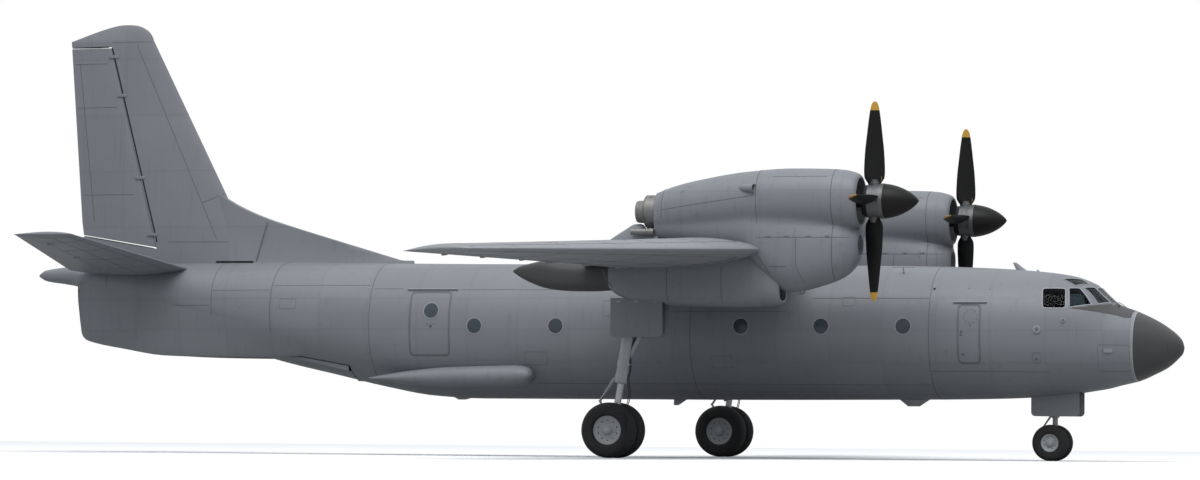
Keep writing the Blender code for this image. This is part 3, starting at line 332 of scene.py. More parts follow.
def painted(name, colour, sheet=(1.05, 0.62), tint=0.07, fading=0.16, streaks=0.10, grime=0.12,
            roughness=0.48, rivets=0.16, seam=0.10, gloss=0.5):
    made, w, shader = new_material(name)
    worn = w.group(weathering, Colour=(*colour, 1), Fading=fading, Streaks=streaks, Grime=grime,
                   Roughness=roughness)
    cut = w.group(panel_tint, Length=sheet[0], Height=sheet[1], Strength=tint)
    dark = w.math("ADD", w.math("MULTIPLY", cut["Edge"], seam), w.math("MULTIPLY", cut["Rivets"], rivets))
    gain = w.math("MULTIPLY", cut["Gain"], w.math("SUBTRACT", 1.0, dark))
    w.feed(shader.inputs["Base Color"], w.scaled(worn["Colour"], gain))
    relief = w.math("SUBTRACT", w.math("MULTIPLY", cut["Rivets"], 0.6), cut["Edge"])
    relief = w.math("ADD", relief, w.math("MULTIPLY", worn["Height"], 0.35))
    uneven(w, shader, worn["Roughness"], relief, 0.25, 0.004)
    shader.inputs["Specular IOR Level"].default_value = gloss
    return made


def plain(name, colour, sheet=9.0, **finish):
    """Paint on a small piece, which has no sheets of its own."""
    return painted(name, colour, sheet=(sheet, sheet), tint=0, seam=0, rivets=0, **finish)


body_paint = painted("body_paint", GREY)
# The wing's grey is lighter than the body's: a painted highlight for the stronger light on the wing's top
painted_highlight_wing_paint = painted("painted_highlight_wing_paint", (0.250, 0.262, 0.283), sheet=(0.87, 5.0), tint=0.05, rivets=0.10)
tail_paint = painted("tail_paint", (0.200, 0.213, 0.236), sheet=(5.0, 1.15), tint=0.05, rivets=0.12)
# Near black on the gear pod's tail: painted shade for the shadow under the wing
pod_tail_shade_paint = painted("pod_tail_painted_shade_paint", (0.048, 0.049, 0.050), sheet=(1.56, 5.0), tint=0.04, grime=0.35)
nacelle_paint = painted("nacelle_paint", (0.212, 0.226, 0.248), sheet=(1.56, 5.0), tint=0.04, grime=0.22,
                        streaks=0.14)
door_paint = painted("gear_door_paint", GREY, sheet=(5.0, 5.0), tint=0.0, grime=0.25)
radome_paint = plain("radome_paint", (0.058, 0.058, 0.060), 5.0, fading=0.2, roughness=0.42, gloss=0.4)
spinner_paint = plain("spinner_paint", (0.012, 0.0118, 0.0118), 5.0, roughness=0.42, gloss=0.22)
blade_paint = plain("blade_paint", (0.0065, 0.0065, 0.007), grime=0.5, roughness=0.45, gloss=0.25)
tip_paint = plain("blade_tip_paint", (0.56, 0.31, 0.035), roughness=0.45)
glare_paint = plain("anti_glare_paint", (0.080, 0.080, 0.080), roughness=0.7)
# Near black for the insides of holes, gaps, slots and mouths: painted shade
painted_shade_black = plain("painted_shade_paint", (0.012, 0.012, 0.013), roughness=0.8)
frame_paint = plain("window_frame_paint", (0.32, 0.335, 0.36), roughness=0.4)
trim_paint = plain("trim_paint", (0.27, 0.284, 0.308))
seam_paint = plain("seam_filler", (0.112, 0.118, 0.129), roughness=0.7)
cabin_paint = painted("cabin_green_paint", (0.11, 0.15, 0.12), sheet=(0.9, 0.7), tint=0.04, roughness=0.6)
cockpit_lining = plain("cockpit_lining_paint", (0.030, 0.032, 0.033), roughness=0.8)
gear_paint = plain("gear_leg_paint", (0.40, 0.42, 0.43), grime=0.5, roughness=0.38)
print("paints", sum(m.name.endswith("paint") for m in bpy.data.materials))

# %% [markdown]
# Bare metal, glass and rubber. The jet pipes are steel that heat has browned, the wheels and pins
# are grey metal, and tyre rubber is matt with a dusty tread. Window glass is real glass where one
# can see into the cockpit; the round cabin windows have opaque dark panes, painted shade for the
# dim hold behind them.

# %% Metal, rubber and glass
def bare(name, colour, metallic, roughness, soot=0.3):
    made, w, shader = new_material(name)
    shader.inputs["Metallic"].default_value = metallic
    worn = w.group(weathering, Colour=(*colour, 1), Fading=soot, Streaks=soot, Grime=soot,
                   Roughness=roughness)
    w.feed(shader.inputs["Base Color"], worn["Colour"])
    uneven(w, shader, worn["Roughness"], worn["Height"], 0.3, 0.003)
    return made


steel = bare("heat_browned_steel", (0.240, 0.235, 0.232), 0.60, 0.45, soot=0.5)
hub_metal = bare("hub_metal", (0.145, 0.150, 0.155), 0.55, 0.45, soot=0.4)
bright_metal = bare("bare_light_metal", (0.56, 0.56, 0.56), 0.9, 0.25, soot=0.15)
dark_metal = bare("oily_dark_metal", (0.060, 0.058, 0.056), 0.7, 0.45, soot=0.5)
brass_metal = bare("brass_braid", (0.52, 0.36, 0.16), 0.8, 0.4)
rubber = bare("tyre_rubber", (0.022, 0.022, 0.023), 0.0, 0.82, soot=0.6)
hose_rubber = bare("hose_rubber", (0.018, 0.018, 0.018), 0.0, 0.5)
seat_cloth = bare("seat_cloth", (0.045, 0.055, 0.045), 0.0, 0.92, soot=0.5)
panel_plastic = bare("instrument_panel_plastic", (0.035, 0.040, 0.042), 0.0, 0.55)
dial_face = bare("dial_face", (0.30, 0.31, 0.30), 0.0, 0.4, soot=0.1)


def glass(name, colour, roughness, clear, bending=1.46):
    made, _, shader = new_material(name)
    values = {"Base Color": (*colour, 1), "Roughness": roughness, "IOR": bending,
              "Transmission Weight": clear}
    for label, value in values.items():
        shader.inputs[label].default_value = value
    return made


pane_glass = glass("cockpit_pane_glass", (0.24, 0.29, 0.31), 0.02, 1.0, bending=1.14)
# Opaque dark panes laid on the closed skin: painted shade for the dim hold behind the windows
cabin_glass_painted_shade = glass("cabin_window_glass", (0.050, 0.062, 0.078), 0.08, 0.0)
print("materials", len(bpy.data.materials))

# %% [markdown]
# Shape helpers. Nearly every piece here is a loft (rings of points joined to each other), a turned
# body (a profile swept round an axis), a ribbon (a thin strip that follows a surface, for seams,
# gutters and frames) or a tube. `Shape` collects such forms in one mesh, because small pieces that
# belong together are lighter as one object. `finish` smooths it, gives it its paint, and says
# which moving body it rides on (the airframe, if no other is named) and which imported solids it
# stands for.

# %% Shape helpers
def blend(a, b, t):
    return a + (b - a) * t


def spread(start, end, count):
    return [blend(start, end, i / (count - 1)) for i in range(count)]


def around(count, first=0.0):
    """Evenly spaced angles of a full turn."""
    return [2 * math.pi * (k + first) / count for k in range(count)]


def headings(points, closed):
    """The direction of a line of points at each of them."""
    ways = []
    for i, point in enumerate(points):
        ahead = points[(i + 1) % len(points)] if closed or i < len(points) - 1 else point
        behind = points[i - 1] if closed or i > 0 else point
        ways.append((ahead - behind).normalized())
    return ways


@functools.cache
def curve(rows, column):
    """Places, values and slopes of one column of a station table, so that it never overshoots."""
    xs, ys = [row[0] for row in rows], [row[column] for row in rows]
    steps = [(ys[i + 1] - ys[i]) / (xs[i + 1] - xs[i]) for i in range(len(xs) - 1)]
    inner = [2 * a * b / (a + b) if a * b > 0 else 0.0 for a, b in zip(steps, steps[1:])]
    return xs, ys, [steps[0], *inner, steps[-1]]


def along(rows, column, at):
    """One column of a station table at a place, on a smooth curve."""
    xs, ys, slopes = curve(rows, column)
    at = min(max(at, xs[0]), xs[-1])
    k = min(bisect.bisect_right(xs, at), len(xs) - 1) - 1
    span = xs[k + 1] - xs[k]
    t = (at - xs[k]) / span
    return (ys[k] * (2 * t**3 - 3 * t**2 + 1) + slopes[k] * span * (t**3 - 2 * t**2 + t)
            + ys[k + 1] * (3 * t**2 - 2 * t**3) + slopes[k + 1] * span * (t**3 - t**2))


def oval_row(table, x):
    """(middle level, half height, half width) at a station of a table of ovals."""
    top, bottom, half = (along(table, column, x) for column in (1, 2, 3))
    return (top + bottom) / 2, (top - bottom) / 2, half


def oval_point(middle, rise, half, power, angle):
    """(across, level) on a squared oval."""
    c, s = math.cos(angle), math.sin(angle)
    return half * math.copysign(abs(c) ** (2 / power),
                                c), middle + rise * math.copysign(abs(s) ** (2 / power), s)


def oval_half(share, half, power):
    """How wide a squared oval is at a share of its height."""
    return half * (1 - abs(share) ** power) ** (1 / power)


def arc(centre, radius, start, end, count):
    """(x, z) points on an arc, its angles in degrees."""
    turns = [math.radians(a) for a in spread(start, end, count)]
    return [(centre[0] + radius * math.cos(a), centre[1] + radius * math.sin(a)) for a in turns]


def rounded_outline(x0, x1, z0, z1, radius, steps=6):
    corners = ((x1 - radius, z1 - radius, 0), (x0 + radius, z1 - radius, 90),
               (x0 + radius, z0 + radius, 180), (x1 - radius, z0 + radius, 270))
    return [p for cx, cz, a in corners for p in arc((cx, cz), radius, a, a + 90, steps)]


class Shape:
    """Forms that are collected in one mesh. `paint` is the material slot of what comes next."""

    def __init__(self):
        self.bm, self.paint = bmesh.new(), 0

    def face(self, corners):
        if len(set(corners)) > 2:
            made = self.bm.faces.new(corners)
            made.material_index = self.paint

    def loft(self, rings, wrap=False, caps=True, open_ring=False, paints=()):
        rows = [[self.bm.verts.new(point) for point in ring] for ring in rings]
        for k, (first, second) in enumerate(zip(rows, rows[1:] + rows[:1] if wrap else rows[1:])):
            self.paint = paints[k] if paints else self.paint
            for i in range(len(first) - open_ring):
                j = (i + 1) % len(first)
                self.face((first[i], first[j], second[j], second[i]))
        if caps and not wrap:
            self.face(list(reversed(rows[-1])))
            self.paint = paints[0] if paints else self.paint
            self.face(rows[0])
        return self

    def turned(self, profile, centre, axis, segments=32, ring=False, squash=1.0):
        frame_of_axis = Vector(axis).to_track_quat("Z", "Y").to_matrix()
        rings = []
        for a in around(segments):
            out = frame_of_axis @ Vector((math.cos(a), math.sin(a) * squash, 0))
            rings.append([Vector(centre) + Vector(axis) * s + out * r for s, r in profile])
        if ring:
            return self.loft(rings, wrap=True)
        return self.loft([[ring[i] for ring in rings] for i in range(len(profile))])

    def ribbon(self, places, width, rise, sink=0.006, closed=False):
        """A strip along (point, normal) places, which stands `rise` above them."""
        rings = []
        for (point, normal), way in zip(places, headings([point for point, _ in places], closed)):
            side = way.cross(normal).normalized() * (width / 2)
            rings.append([point - side - normal * sink, point - side + normal * rise,
                          point + side + normal * rise, point + side - normal * sink])
        return self.loft(rings, wrap=closed)

    def tube(self, points, radius, segments=10, closed=False):
        points = [Vector(p) for p in points]
        sizes = radius if isinstance(radius, (list, tuple)) else [radius] * len(points)
        rings = []
        across = Vector((0.12, 0.34, 0.93))
        for point, way, size in zip(points, headings(points, closed), sizes):
            across = (across - way * across.dot(way)).normalized()
            other = way.cross(across)
            rings.append([point + (across * math.cos(a) + other * math.sin(a)) * size
                          for a in around(segments)])
        return self.loft(rings, wrap=closed)

    def box(self, low, high):
        (x0, y0, z0), (x1, y1, z1) = low, high
        return self.loft([[(x, y0, z0), (x, y1, z0), (x, y1, z1), (x, y0, z1)] for x in (x0, x1)])

    def plate(self, outline, y0, y1):
        """An outline of (x, z) points, extruded across from y0 to y1."""
        return self.loft([[(x, y, z) for x, z in outline] for y in (y0, y1)])

    def finish(self, name, materials, slot, replaces=(), body="airframe", angle=32, bevel=0.0, cutters=()):
        bmesh.ops.recalc_face_normals(self.bm, faces=self.bm.faces)
        mesh = bpy.data.meshes.new(name)
        self.bm.to_mesh(mesh)
        self.bm.free()
        for material in materials if isinstance(materials, (list, tuple)) else (materials,):
            mesh.materials.append(material)
        made = bpy.data.objects.new(name, mesh)
        bpy.context.scene.collection.objects.link(made)
        for cutter in cutters:
            opening = made.modifiers.new("opening", "BOOLEAN")
            opening.operation, opening.solver, opening.object = "DIFFERENCE", "EXACT", cutter
        if bevel:
            rounding = made.modifiers.new("rounding", "BEVEL")
            rounding.width, rounding.segments, rounding.limit_method = bevel, 2, "ANGLE"
        if made.modifiers:
            bpy.context.view_layer.update()
            graph = bpy.context.evaluated_depsgraph_get()
            made.data = bpy.data.meshes.new_from_object(made.evaluated_get(graph))
            made.modifiers.clear()
        for cutter in cutters:
            bpy.data.objects.remove(cutter, do_unlink=True)
        made.data.shade_smooth()
        made.data.set_sharp_from_angle(angle=math.radians(angle))
        if body:
            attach(made, body)
        if replaces:
            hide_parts(*replaces)
        return made

    def cutter(self):
        return self.finish("cutter", painted_shade_black, None, body=None)


def oval_at(x, y, top, bottom, half, power=2.0, count=48):
    """A rounded ring in the plane of one station."""
    middle, rise = (top + bottom) / 2, (top - bottom) / 2
    points = [oval_point(middle, rise, half, power, a) for a in around(count, 0.5)]
    return [(x, y + across, z) for across, z in points]


def stud(shape, at, size, rise, share, segments):
    """A small button that stands on a (point, direction) place."""
    shape.turned([(-0.003, size), (rise - 0.002, size), (rise, size * share)], *at, segments)


SIDES = (("starboard", -1), ("port", 1))
print("shape helpers ready")

# %% [markdown]
# The fuselage is a tube whose section is a slightly squared oval, drawn at stations from the tail
# to the nose. One table gives the top, bottom and half width at each station, and smooth curves
# run through them. Everything that sits on the skin, such as a seam or a door frame, asks
# `skin_at` for its place and for the direction that points straight out.

# %% Fuselage surface
FUSELAGE = (
    (-11.90, 3.64, 3.60, 0.02), (-11.75, 3.73, 3.51, 0.12), (-11.10, 3.81, 3.41, 0.28),
    (-10.60, 3.84, 3.24, 0.60), (-9.00, 3.86, 2.68, 0.93), (-7.50, 3.87, 2.16, 1.13),
    (-6.32, 3.87, 1.83, 1.28), (-5.28, 3.86, 1.60, 1.38), (-4.20, 3.85, 1.36, 1.44),
    (-3.20, 3.84, 1.19, 1.45), (-2.20, 3.83, 1.14, 1.45), (2.00, 3.81, 1.14, 1.45),
    (7.22, 3.75, 1.17, 1.45), (8.30, 3.71, 1.19, 1.43), (9.01, 3.66, 1.22, 1.38),
    (9.72, 3.57, 1.28, 1.28), (10.18, 3.41, 1.35, 1.16), (10.42, 3.20, 1.39, 1.07),
    (10.65, 3.01, 1.45, 0.97), (11.05, 2.86, 1.55, 0.76), (11.35, 2.72, 1.68, 0.58),
    (11.58, 2.58, 1.80, 0.43), (11.81, 2.39, 2.00, 0.21), (11.87, 2.30, 2.07, 0.12),
    (11.90, 2.19, 2.17, 0.02),
)
SECTION_POWER = 2.25
RING_COUNT = 96
RADOME_SEAM, NOSE_SEAM, REAR_SEAM, CONE_SEAM = 11.02, 7.22, -4.20, -11.10


def skin_point(x, angle, lift=0.0):
    middle, rise, half = oval_row(FUSELAGE, x)
    return Vector((x, *oval_point(middle, rise + lift, half + lift, SECTION_POWER, angle)))


def skin_at(x, angle, lift=0.0):
    """(point, outward direction) on the skin at a station and an angle round the section."""
    step = 0.01
    lengthwise = skin_point(x + step, angle) - skin_point(x - step, angle)
    sideways = skin_point(x, angle + step) - skin_point(x, angle - step)
    normal = sideways.cross(lengthwise).normalized()
    point = skin_point(x, angle)
    if normal.dot(point - Vector((x, 0, 2.5))) < 0:
        normal = -normal
    return point + normal * lift, normal


def skin_angle(x, z, sign):
    middle, rise, _ = oval_row(FUSELAGE, x)
    level = min(max((z - middle) / rise, -1.0), 1.0)
    angle = math.asin(math.copysign(abs(level) ** (SECTION_POWER / 2), level))
    return angle if sign > 0 else math.pi - angle


def skin_side(x, z, sign, lift=0.0):
    return skin_at(x, skin_angle(x, z, sign), lift)


def body_ring(x, lift=0.0, low=None, high=None, count=RING_COUNT):
    ring = [skin_point(x, angle, lift) for angle in around(count, 0.5)]
    for point in ring:
        point.z = point.z if low is None else max(point.z, low)
        point.z = point.z if high is None else min(point.z, high)
    return ring


def stations(x0, x1, step=0.22):
    return spread(x0, x1, 2 + int(abs(x1 - x0) / step))


print("fuselage", FUSELAGE[-1][0] - FUSELAGE[0][0], "m long")

# %% [markdown]
# The cockpit panes are openings through the skin, each cut by a prism along the direction in which
# that pane faces. The skin itself is a shell: rings of its outside, then rings of its inside, so
# that it has a real wall and the cockpit and the hold are real rooms.

# %% Nose section, radome and tail cone
COCKPIT_WALL, COCKPIT_FLOOR, COCKPIT_FRONT = 0.07, 1.75, 10.93
HOLD_WALL, HOLD_FLOOR, HOLD_CEILING, TAIL_CEILING, HOLD_END = 0.08, 1.50, 3.38, 3.68, -9.95
RAMP_FRONT, RAMP_REAR = -4.70, -9.85
RAMP_FRONT_HALF, RAMP_REAR_HALF = 1.02, 0.56
NOSE_BAY_LOW, NOSE_BAY_HIGH = (8.95, -0.27, 0.9), (9.95, 0.27, 1.60)

# Panes by the corners of their port twin, (x, y, z), from the upper rear corner round to the lower one
PANES = (
    ("side", 0.06, ((9.35, 1.00, 3.285), (9.765, 0.90, 3.295), (9.815, 1.17, 2.92), (9.395, 1.24, 2.91))),
    ("quarter", 0.03, ((9.83, 0.86, 3.30), (10.02, 0.76, 3.305), (10.27, 0.92, 2.99), (9.89, 1.14, 2.93))),
    ("front_side", 0.03, ((10.085, 0.67, 3.315), (10.245, 0.42, 3.32), (10.55, 0.42, 3.045),
                          (10.38, 0.78, 3.01))),
    ("windscreen", 0.03, ((10.275, 0.36, 3.31), (10.30, 0.04, 3.33), (10.62, 0.04, 3.06),
                          (10.58, 0.36, 3.04))),
    ("eyebrow", 0.03, ((9.66, 0.60, 3.49), (9.97, 0.30, 3.49), (10.13, 0.40, 3.40), (9.93, 0.72, 3.37))),
)


def rounded_corners(corners, radius, gap=0.04):
    """A closed outline with rounded corners, and enough points between them to follow a curved skin."""
    made = []
    for k, corner in enumerate(corners):
        before, after = corners[k - 1], corners[(k + 1) % len(corners)]
        a, b = (corner + (beside - corner).normalized() * radius for beside in (before, after))
        made += [a.lerp(corner, t).lerp(corner.lerp(b, t), t) for t in spread(0, 1, 6)]
        far = after + (corner - after).normalized() * radius
        steps = max(2, int((far - b).length / gap))
        made += [b.lerp(far, n / steps) for n in range(1, steps)]
    return made


def pane_frame(sign, pane):
    """(rounded outline, direction in which the pane faces) of one pane."""
    corners = [Vector((x, sign * y, z)) for x, y, z in pane[2]]
    out = (corners[2] - corners[0]).cross(corners[3] - corners[1]).normalized() * -sign
    return rounded_corners(corners, pane[1]), out if out.y * sign > 0 else -out


def pane_prism(sign, pane, depth_in=-0.20, depth_out=0.30):
    outline, out = pane_frame(sign, pane)
    return Shape().loft([[point + out * d for point in outline] for d in (depth_in, depth_out)]).cutter()


# The rings stand closer together under the windscreen, where the skin is hollow
FINE_FROM, NOSE_STEP, FINE_STEP = 10.48, 0.12, 0.045
nose = Shape()
inside = [body_ring(x, -COCKPIT_WALL, low=COCKPIT_FLOOR)
          for x in reversed(stations(NOSE_SEAM, COCKPIT_FRONT))]
outside = [body_ring(x) for x in
           stations(NOSE_SEAM, FINE_FROM - 0.04, NOSE_STEP) + stations(FINE_FROM, RADOME_SEAM, FINE_STEP)]
nose.loft(inside + outside, paints=[1] * len(inside) + [0] * (len(outside) - 1))
openings = [pane_prism(sign, pane) for pane in PANES for sign in (-1, 1)]
openings.append(Shape().box(NOSE_BAY_LOW, NOSE_BAY_HIGH).cutter())
nose_skin = nose.finish("nose_skin", [body_paint, cockpit_lining], "fuselage_skin",
                        ["nose_section"], cutters=openings)

tip_stations = [RADOME_SEAM + (FUSELAGE[-1][0] - RADOME_SEAM) * math.sin(math.pi / 2 * k / 22)
                for k in range(23)]
radome = Shape().loft([body_ring(x) for x in tip_stations])
radome.finish("radome_shell", radome_paint, "radome", ["radome"])
cone_stations = [FUSELAGE[0][0], -11.88, -11.84, -11.78, -11.70, -11.55, -11.35, CONE_SEAM]
Shape().loft([body_ring(x, count=48) for x in cone_stations]).finish(
    "tail_cone_shell", tail_paint, "fuselage_skin", ["tail_cone"])
print("nose skin", len(nose_skin.data.polygons), "faces,", len(PANES) * 2, "panes cut")

# %% [markdown]
# The middle and rear of the body. The rear end sweeps up, and its underside is the cargo ramp,
# which closes flush between two long strakes. The ramp is the slice of the same skin between two
# upright cuts, with the hold's floor as its upper face.

# %% Centre and rear fuselage, ramp and strakes
RAMP_FRONT_DEPTH, RAMP_REAR_DEPTH, RAMP_GAP, RAMP_SIDE_GAP = 0.20, 0.12, 0.007, 0.022
RAMP_HINGE = Vector((-4.734, 0.0, 1.502911))
HINGE_RADIUS, HINGE_HALF = 0.034, 0.30
# The skin is a little shorter in front than the ramp itself, so that it clears the sill when it turns
RAMP_SKIN_FRONT = RAMP_FRONT - 0.018


def ramp_share(x):
    return (x - RAMP_FRONT) / (RAMP_REAR - RAMP_FRONT)


def ramp_half(x):
    return blend(RAMP_FRONT_HALF, RAMP_REAR_HALF, ramp_share(x))


def hold_floor(x):
    depth = blend(RAMP_FRONT_DEPTH, RAMP_REAR_DEPTH, max(ramp_share(x), 0.0))
    return max(HOLD_FLOOR, along(FUSELAGE, 2, x) + depth)


def hold_ring(x):
    roof = HOLD_CEILING if x >= 0 else TAIL_CEILING
    return body_ring(x, -HOLD_WALL, low=hold_floor(x), high=roof)


centre, outside = Shape(), [body_ring(x) for x in stations(REAR_SEAM, NOSE_SEAM)]
inside = [hold_ring(x) for x in reversed(stations(REAR_SEAM, NOSE_SEAM, 0.8))]
centre.loft(outside + inside, wrap=True, paints=[0] * len(outside) + [1] * len(inside))
centre_skin = centre.finish("centre_skin", [body_paint, cabin_paint], "fuselage_skin", ["centre_fuselage"])

rear, inside = Shape(), [hold_ring(x) for x in stations(HOLD_END, REAR_SEAM, 0.4)]
outside = [body_ring(x) for x in stations(REAR_SEAM, CONE_SEAM, 0.16)]
rear.loft(inside + outside, paints=[1] * len(inside) + [0] * (len(outside) - 1))
opening = Shape()
opening.loft([[(x, -h, 0.5), (x, h, 0.5), (x, h, top), (x, -h, top)] for x, h, top in (
    (x, ramp_half(x) + RAMP_SIDE_GAP, hold_floor(x) + blend(0.40, 0.13, ramp_share(x)))
    for x in spread(RAMP_REAR - RAMP_GAP, RAMP_FRONT + RAMP_GAP, 12))])
rear_skin = rear.finish("rear_skin", [body_paint, cabin_paint], "fuselage_skin", ["rear_fuselage"],
                        cutters=[opening.cutter()])


def belly_level(x, y):
    middle, rise, half = oval_row(FUSELAGE, x)
    return middle - oval_half(y / half, rise, SECTION_POWER)


ramp = Shape()
rings = []
for x in stations(RAMP_REAR, RAMP_SKIN_FRONT, 0.16):
    half = ramp_half(x)
    under = [(x, y, belly_level(x, y)) for y in spread(-half, half, 25)]
    rings.append(under + [(x, y, hold_floor(x)) for y in (half, half * 0.5, 0.0, -half * 0.5, -half)])
ramp.loft(rings)
ramp.tube([RAMP_HINGE + Vector((0, y, 0)) for y in (-HINGE_HALF, HINGE_HALF)], HINGE_RADIUS, 24)
ramp_plate = [(RAMP_HINGE.x, RAMP_HINGE.z - 0.012), (RAMP_FRONT - 0.02, RAMP_HINGE.z - 0.012),
              (RAMP_FRONT - 0.02, RAMP_HINGE.z + 0.02), (RAMP_HINGE.x, RAMP_HINGE.z + 0.02)]
ramp.plate(ramp_plate, -HINGE_HALF, HINGE_HALF)
ramp.finish("ramp_skin", body_paint, "fuselage_skin", ["cargo_ramp"], "cargo_ramp")

lugs = Shape()
for sign in (-1, 1):
    lug = arc((RAMP_HINGE.x, RAMP_HINGE.z), HINGE_RADIUS, 90, 270, 12)
    lug += [(RAMP_HINGE.x + 0.30, RAMP_HINGE.z - HINGE_RADIUS),
            (RAMP_HINGE.x + 0.30, RAMP_HINGE.z + HINGE_RADIUS)]
    lugs.plate(lug, sign * (HINGE_HALF + 0.002), sign * (HINGE_HALF + 0.06))
lugs.finish("ramp_hinge_lugs", gear_paint, "fuselage_skin", bevel=0.004)

# Strake rows as (x, bottom, seam with the body)
STRAKE = (
    (-10.80, 3.30, 3.46), (-10.79, 3.08, 3.46), (-10.74, 2.68, 3.46), (-10.70, 2.42, 3.46),
    (-10.66, 2.34, 3.46),
    (-10.56, 2.27, 3.46), (-9.70, 2.10, 3.40), (-8.80, 1.97, 3.25),
    (-7.80, 1.94, 2.99), (-6.60, 1.93, 2.64), (-5.60, 1.98, 2.34), (-5.10, 2.04, 2.12),
)
STRAKE_WIDTH = 0.045
for side, sign in SIDES:
    rings = []
    for x in [-10.80, -10.79, -10.74, -10.70, -10.66, -10.60, -10.52] + stations(-10.42, -5.10, 0.2):
        bottom, seam = along(STRAKE, 1, x), along(STRAKE, 2, x)
        inner = ramp_half(x) + STRAKE_WIDTH
        middle, rise, half = oval_row(FUSELAGE, x)
        skin = oval_half(min(abs(seam - middle) / rise, 0.999), half, SECTION_POWER)
        outer = max(skin - 0.004, inner + 0.02)
        edge = inner + STRAKE_WIDTH
        face = [(blend(outer, edge, t**1.25), blend(seam, bottom, t)) for t in spread(0, 0.96, 9)]
        face += [(edge - 0.004, bottom + 0.008), (edge - 0.016, bottom), (inner + 0.010, bottom),
                 (inner, bottom + 0.01)]
        rings.append([(x, sign * y, z) for y, z in face + [(inner, seam)]])
    Shape().loft(rings).finish(f"strake_skin_{side}", body_paint, "fuselage_skin", [f"ventral_strake_{side}"])
print("centre and rear skins", len(centre_skin.data.polygons), len(rear_skin.data.polygons), "faces")

# %% [markdown]
# Forms that follow the skin. `skin_outline` walks round a closed outline drawn on the side of the
# body, `patch` lays a thin plate inside it, and seams, gutters, doors and windows all use them.

# %% Seams, doors and cabin windows
def circle(x, z, radius, count=40):
    return [(x + radius * math.cos(a), z + radius * math.sin(a)) for a in around(count)]


def dense(points, gap=0.09, closed=True):
    """The same outline with extra points, so that a strip along it follows the curved skin."""
    made = []
    for a, b in zip(points, points[1:] + points[:1] if closed else points[1:]):
        steps = max(1, int(math.dist(a, b) / gap))
        made += [(blend(a[0], b[0], k / steps), blend(a[1], b[1], k / steps)) for k in range(steps)]
    return made if closed else made + [points[-1]]


def skin_outline(points, sign, lift=0.0):
    return [skin_side(x, z, sign, lift) for x, z in points]


def patch(shape, outline, sign, lift, sink=0.006, shares=(0.04, 0.3, 0.6, 0.85, 1.0)):
    """A thin plate inside an outline, shaped like the skin under it."""
    mx = sum(x for x, _ in outline) / len(outline)
    mz = sum(z for _, z in outline) / len(outline)
    rings = []
    for level, order in ((lift, shares), (-sink, tuple(reversed(shares)))):
        for f in order:
            rings.append([skin_side(blend(mx, x, f), blend(mz, z, f), sign, level)[0] for x, z in outline])
    shape.loft(rings)


def hoop(x, start, end, count=70, lift=0.0):
    """Places round the body at one station, between two angles in degrees."""
    return [skin_at(x, math.radians(a), lift) for a in spread(start, end, count)]


WINDOW_LEVEL, WINDOW_RADIUS = 2.56, 0.145
WINDOW_PLACES = (-1.94, -0.26, 1.30, 3.50, 5.10, 6.72)
AFT_DOOR, CREW_DOOR = (-3.30, -2.46, 1.97, 3.24), (7.78, 8.22, 1.85, 2.98)
SEAM_WIDTH, SEAM_RISE = 0.013, 0.0022

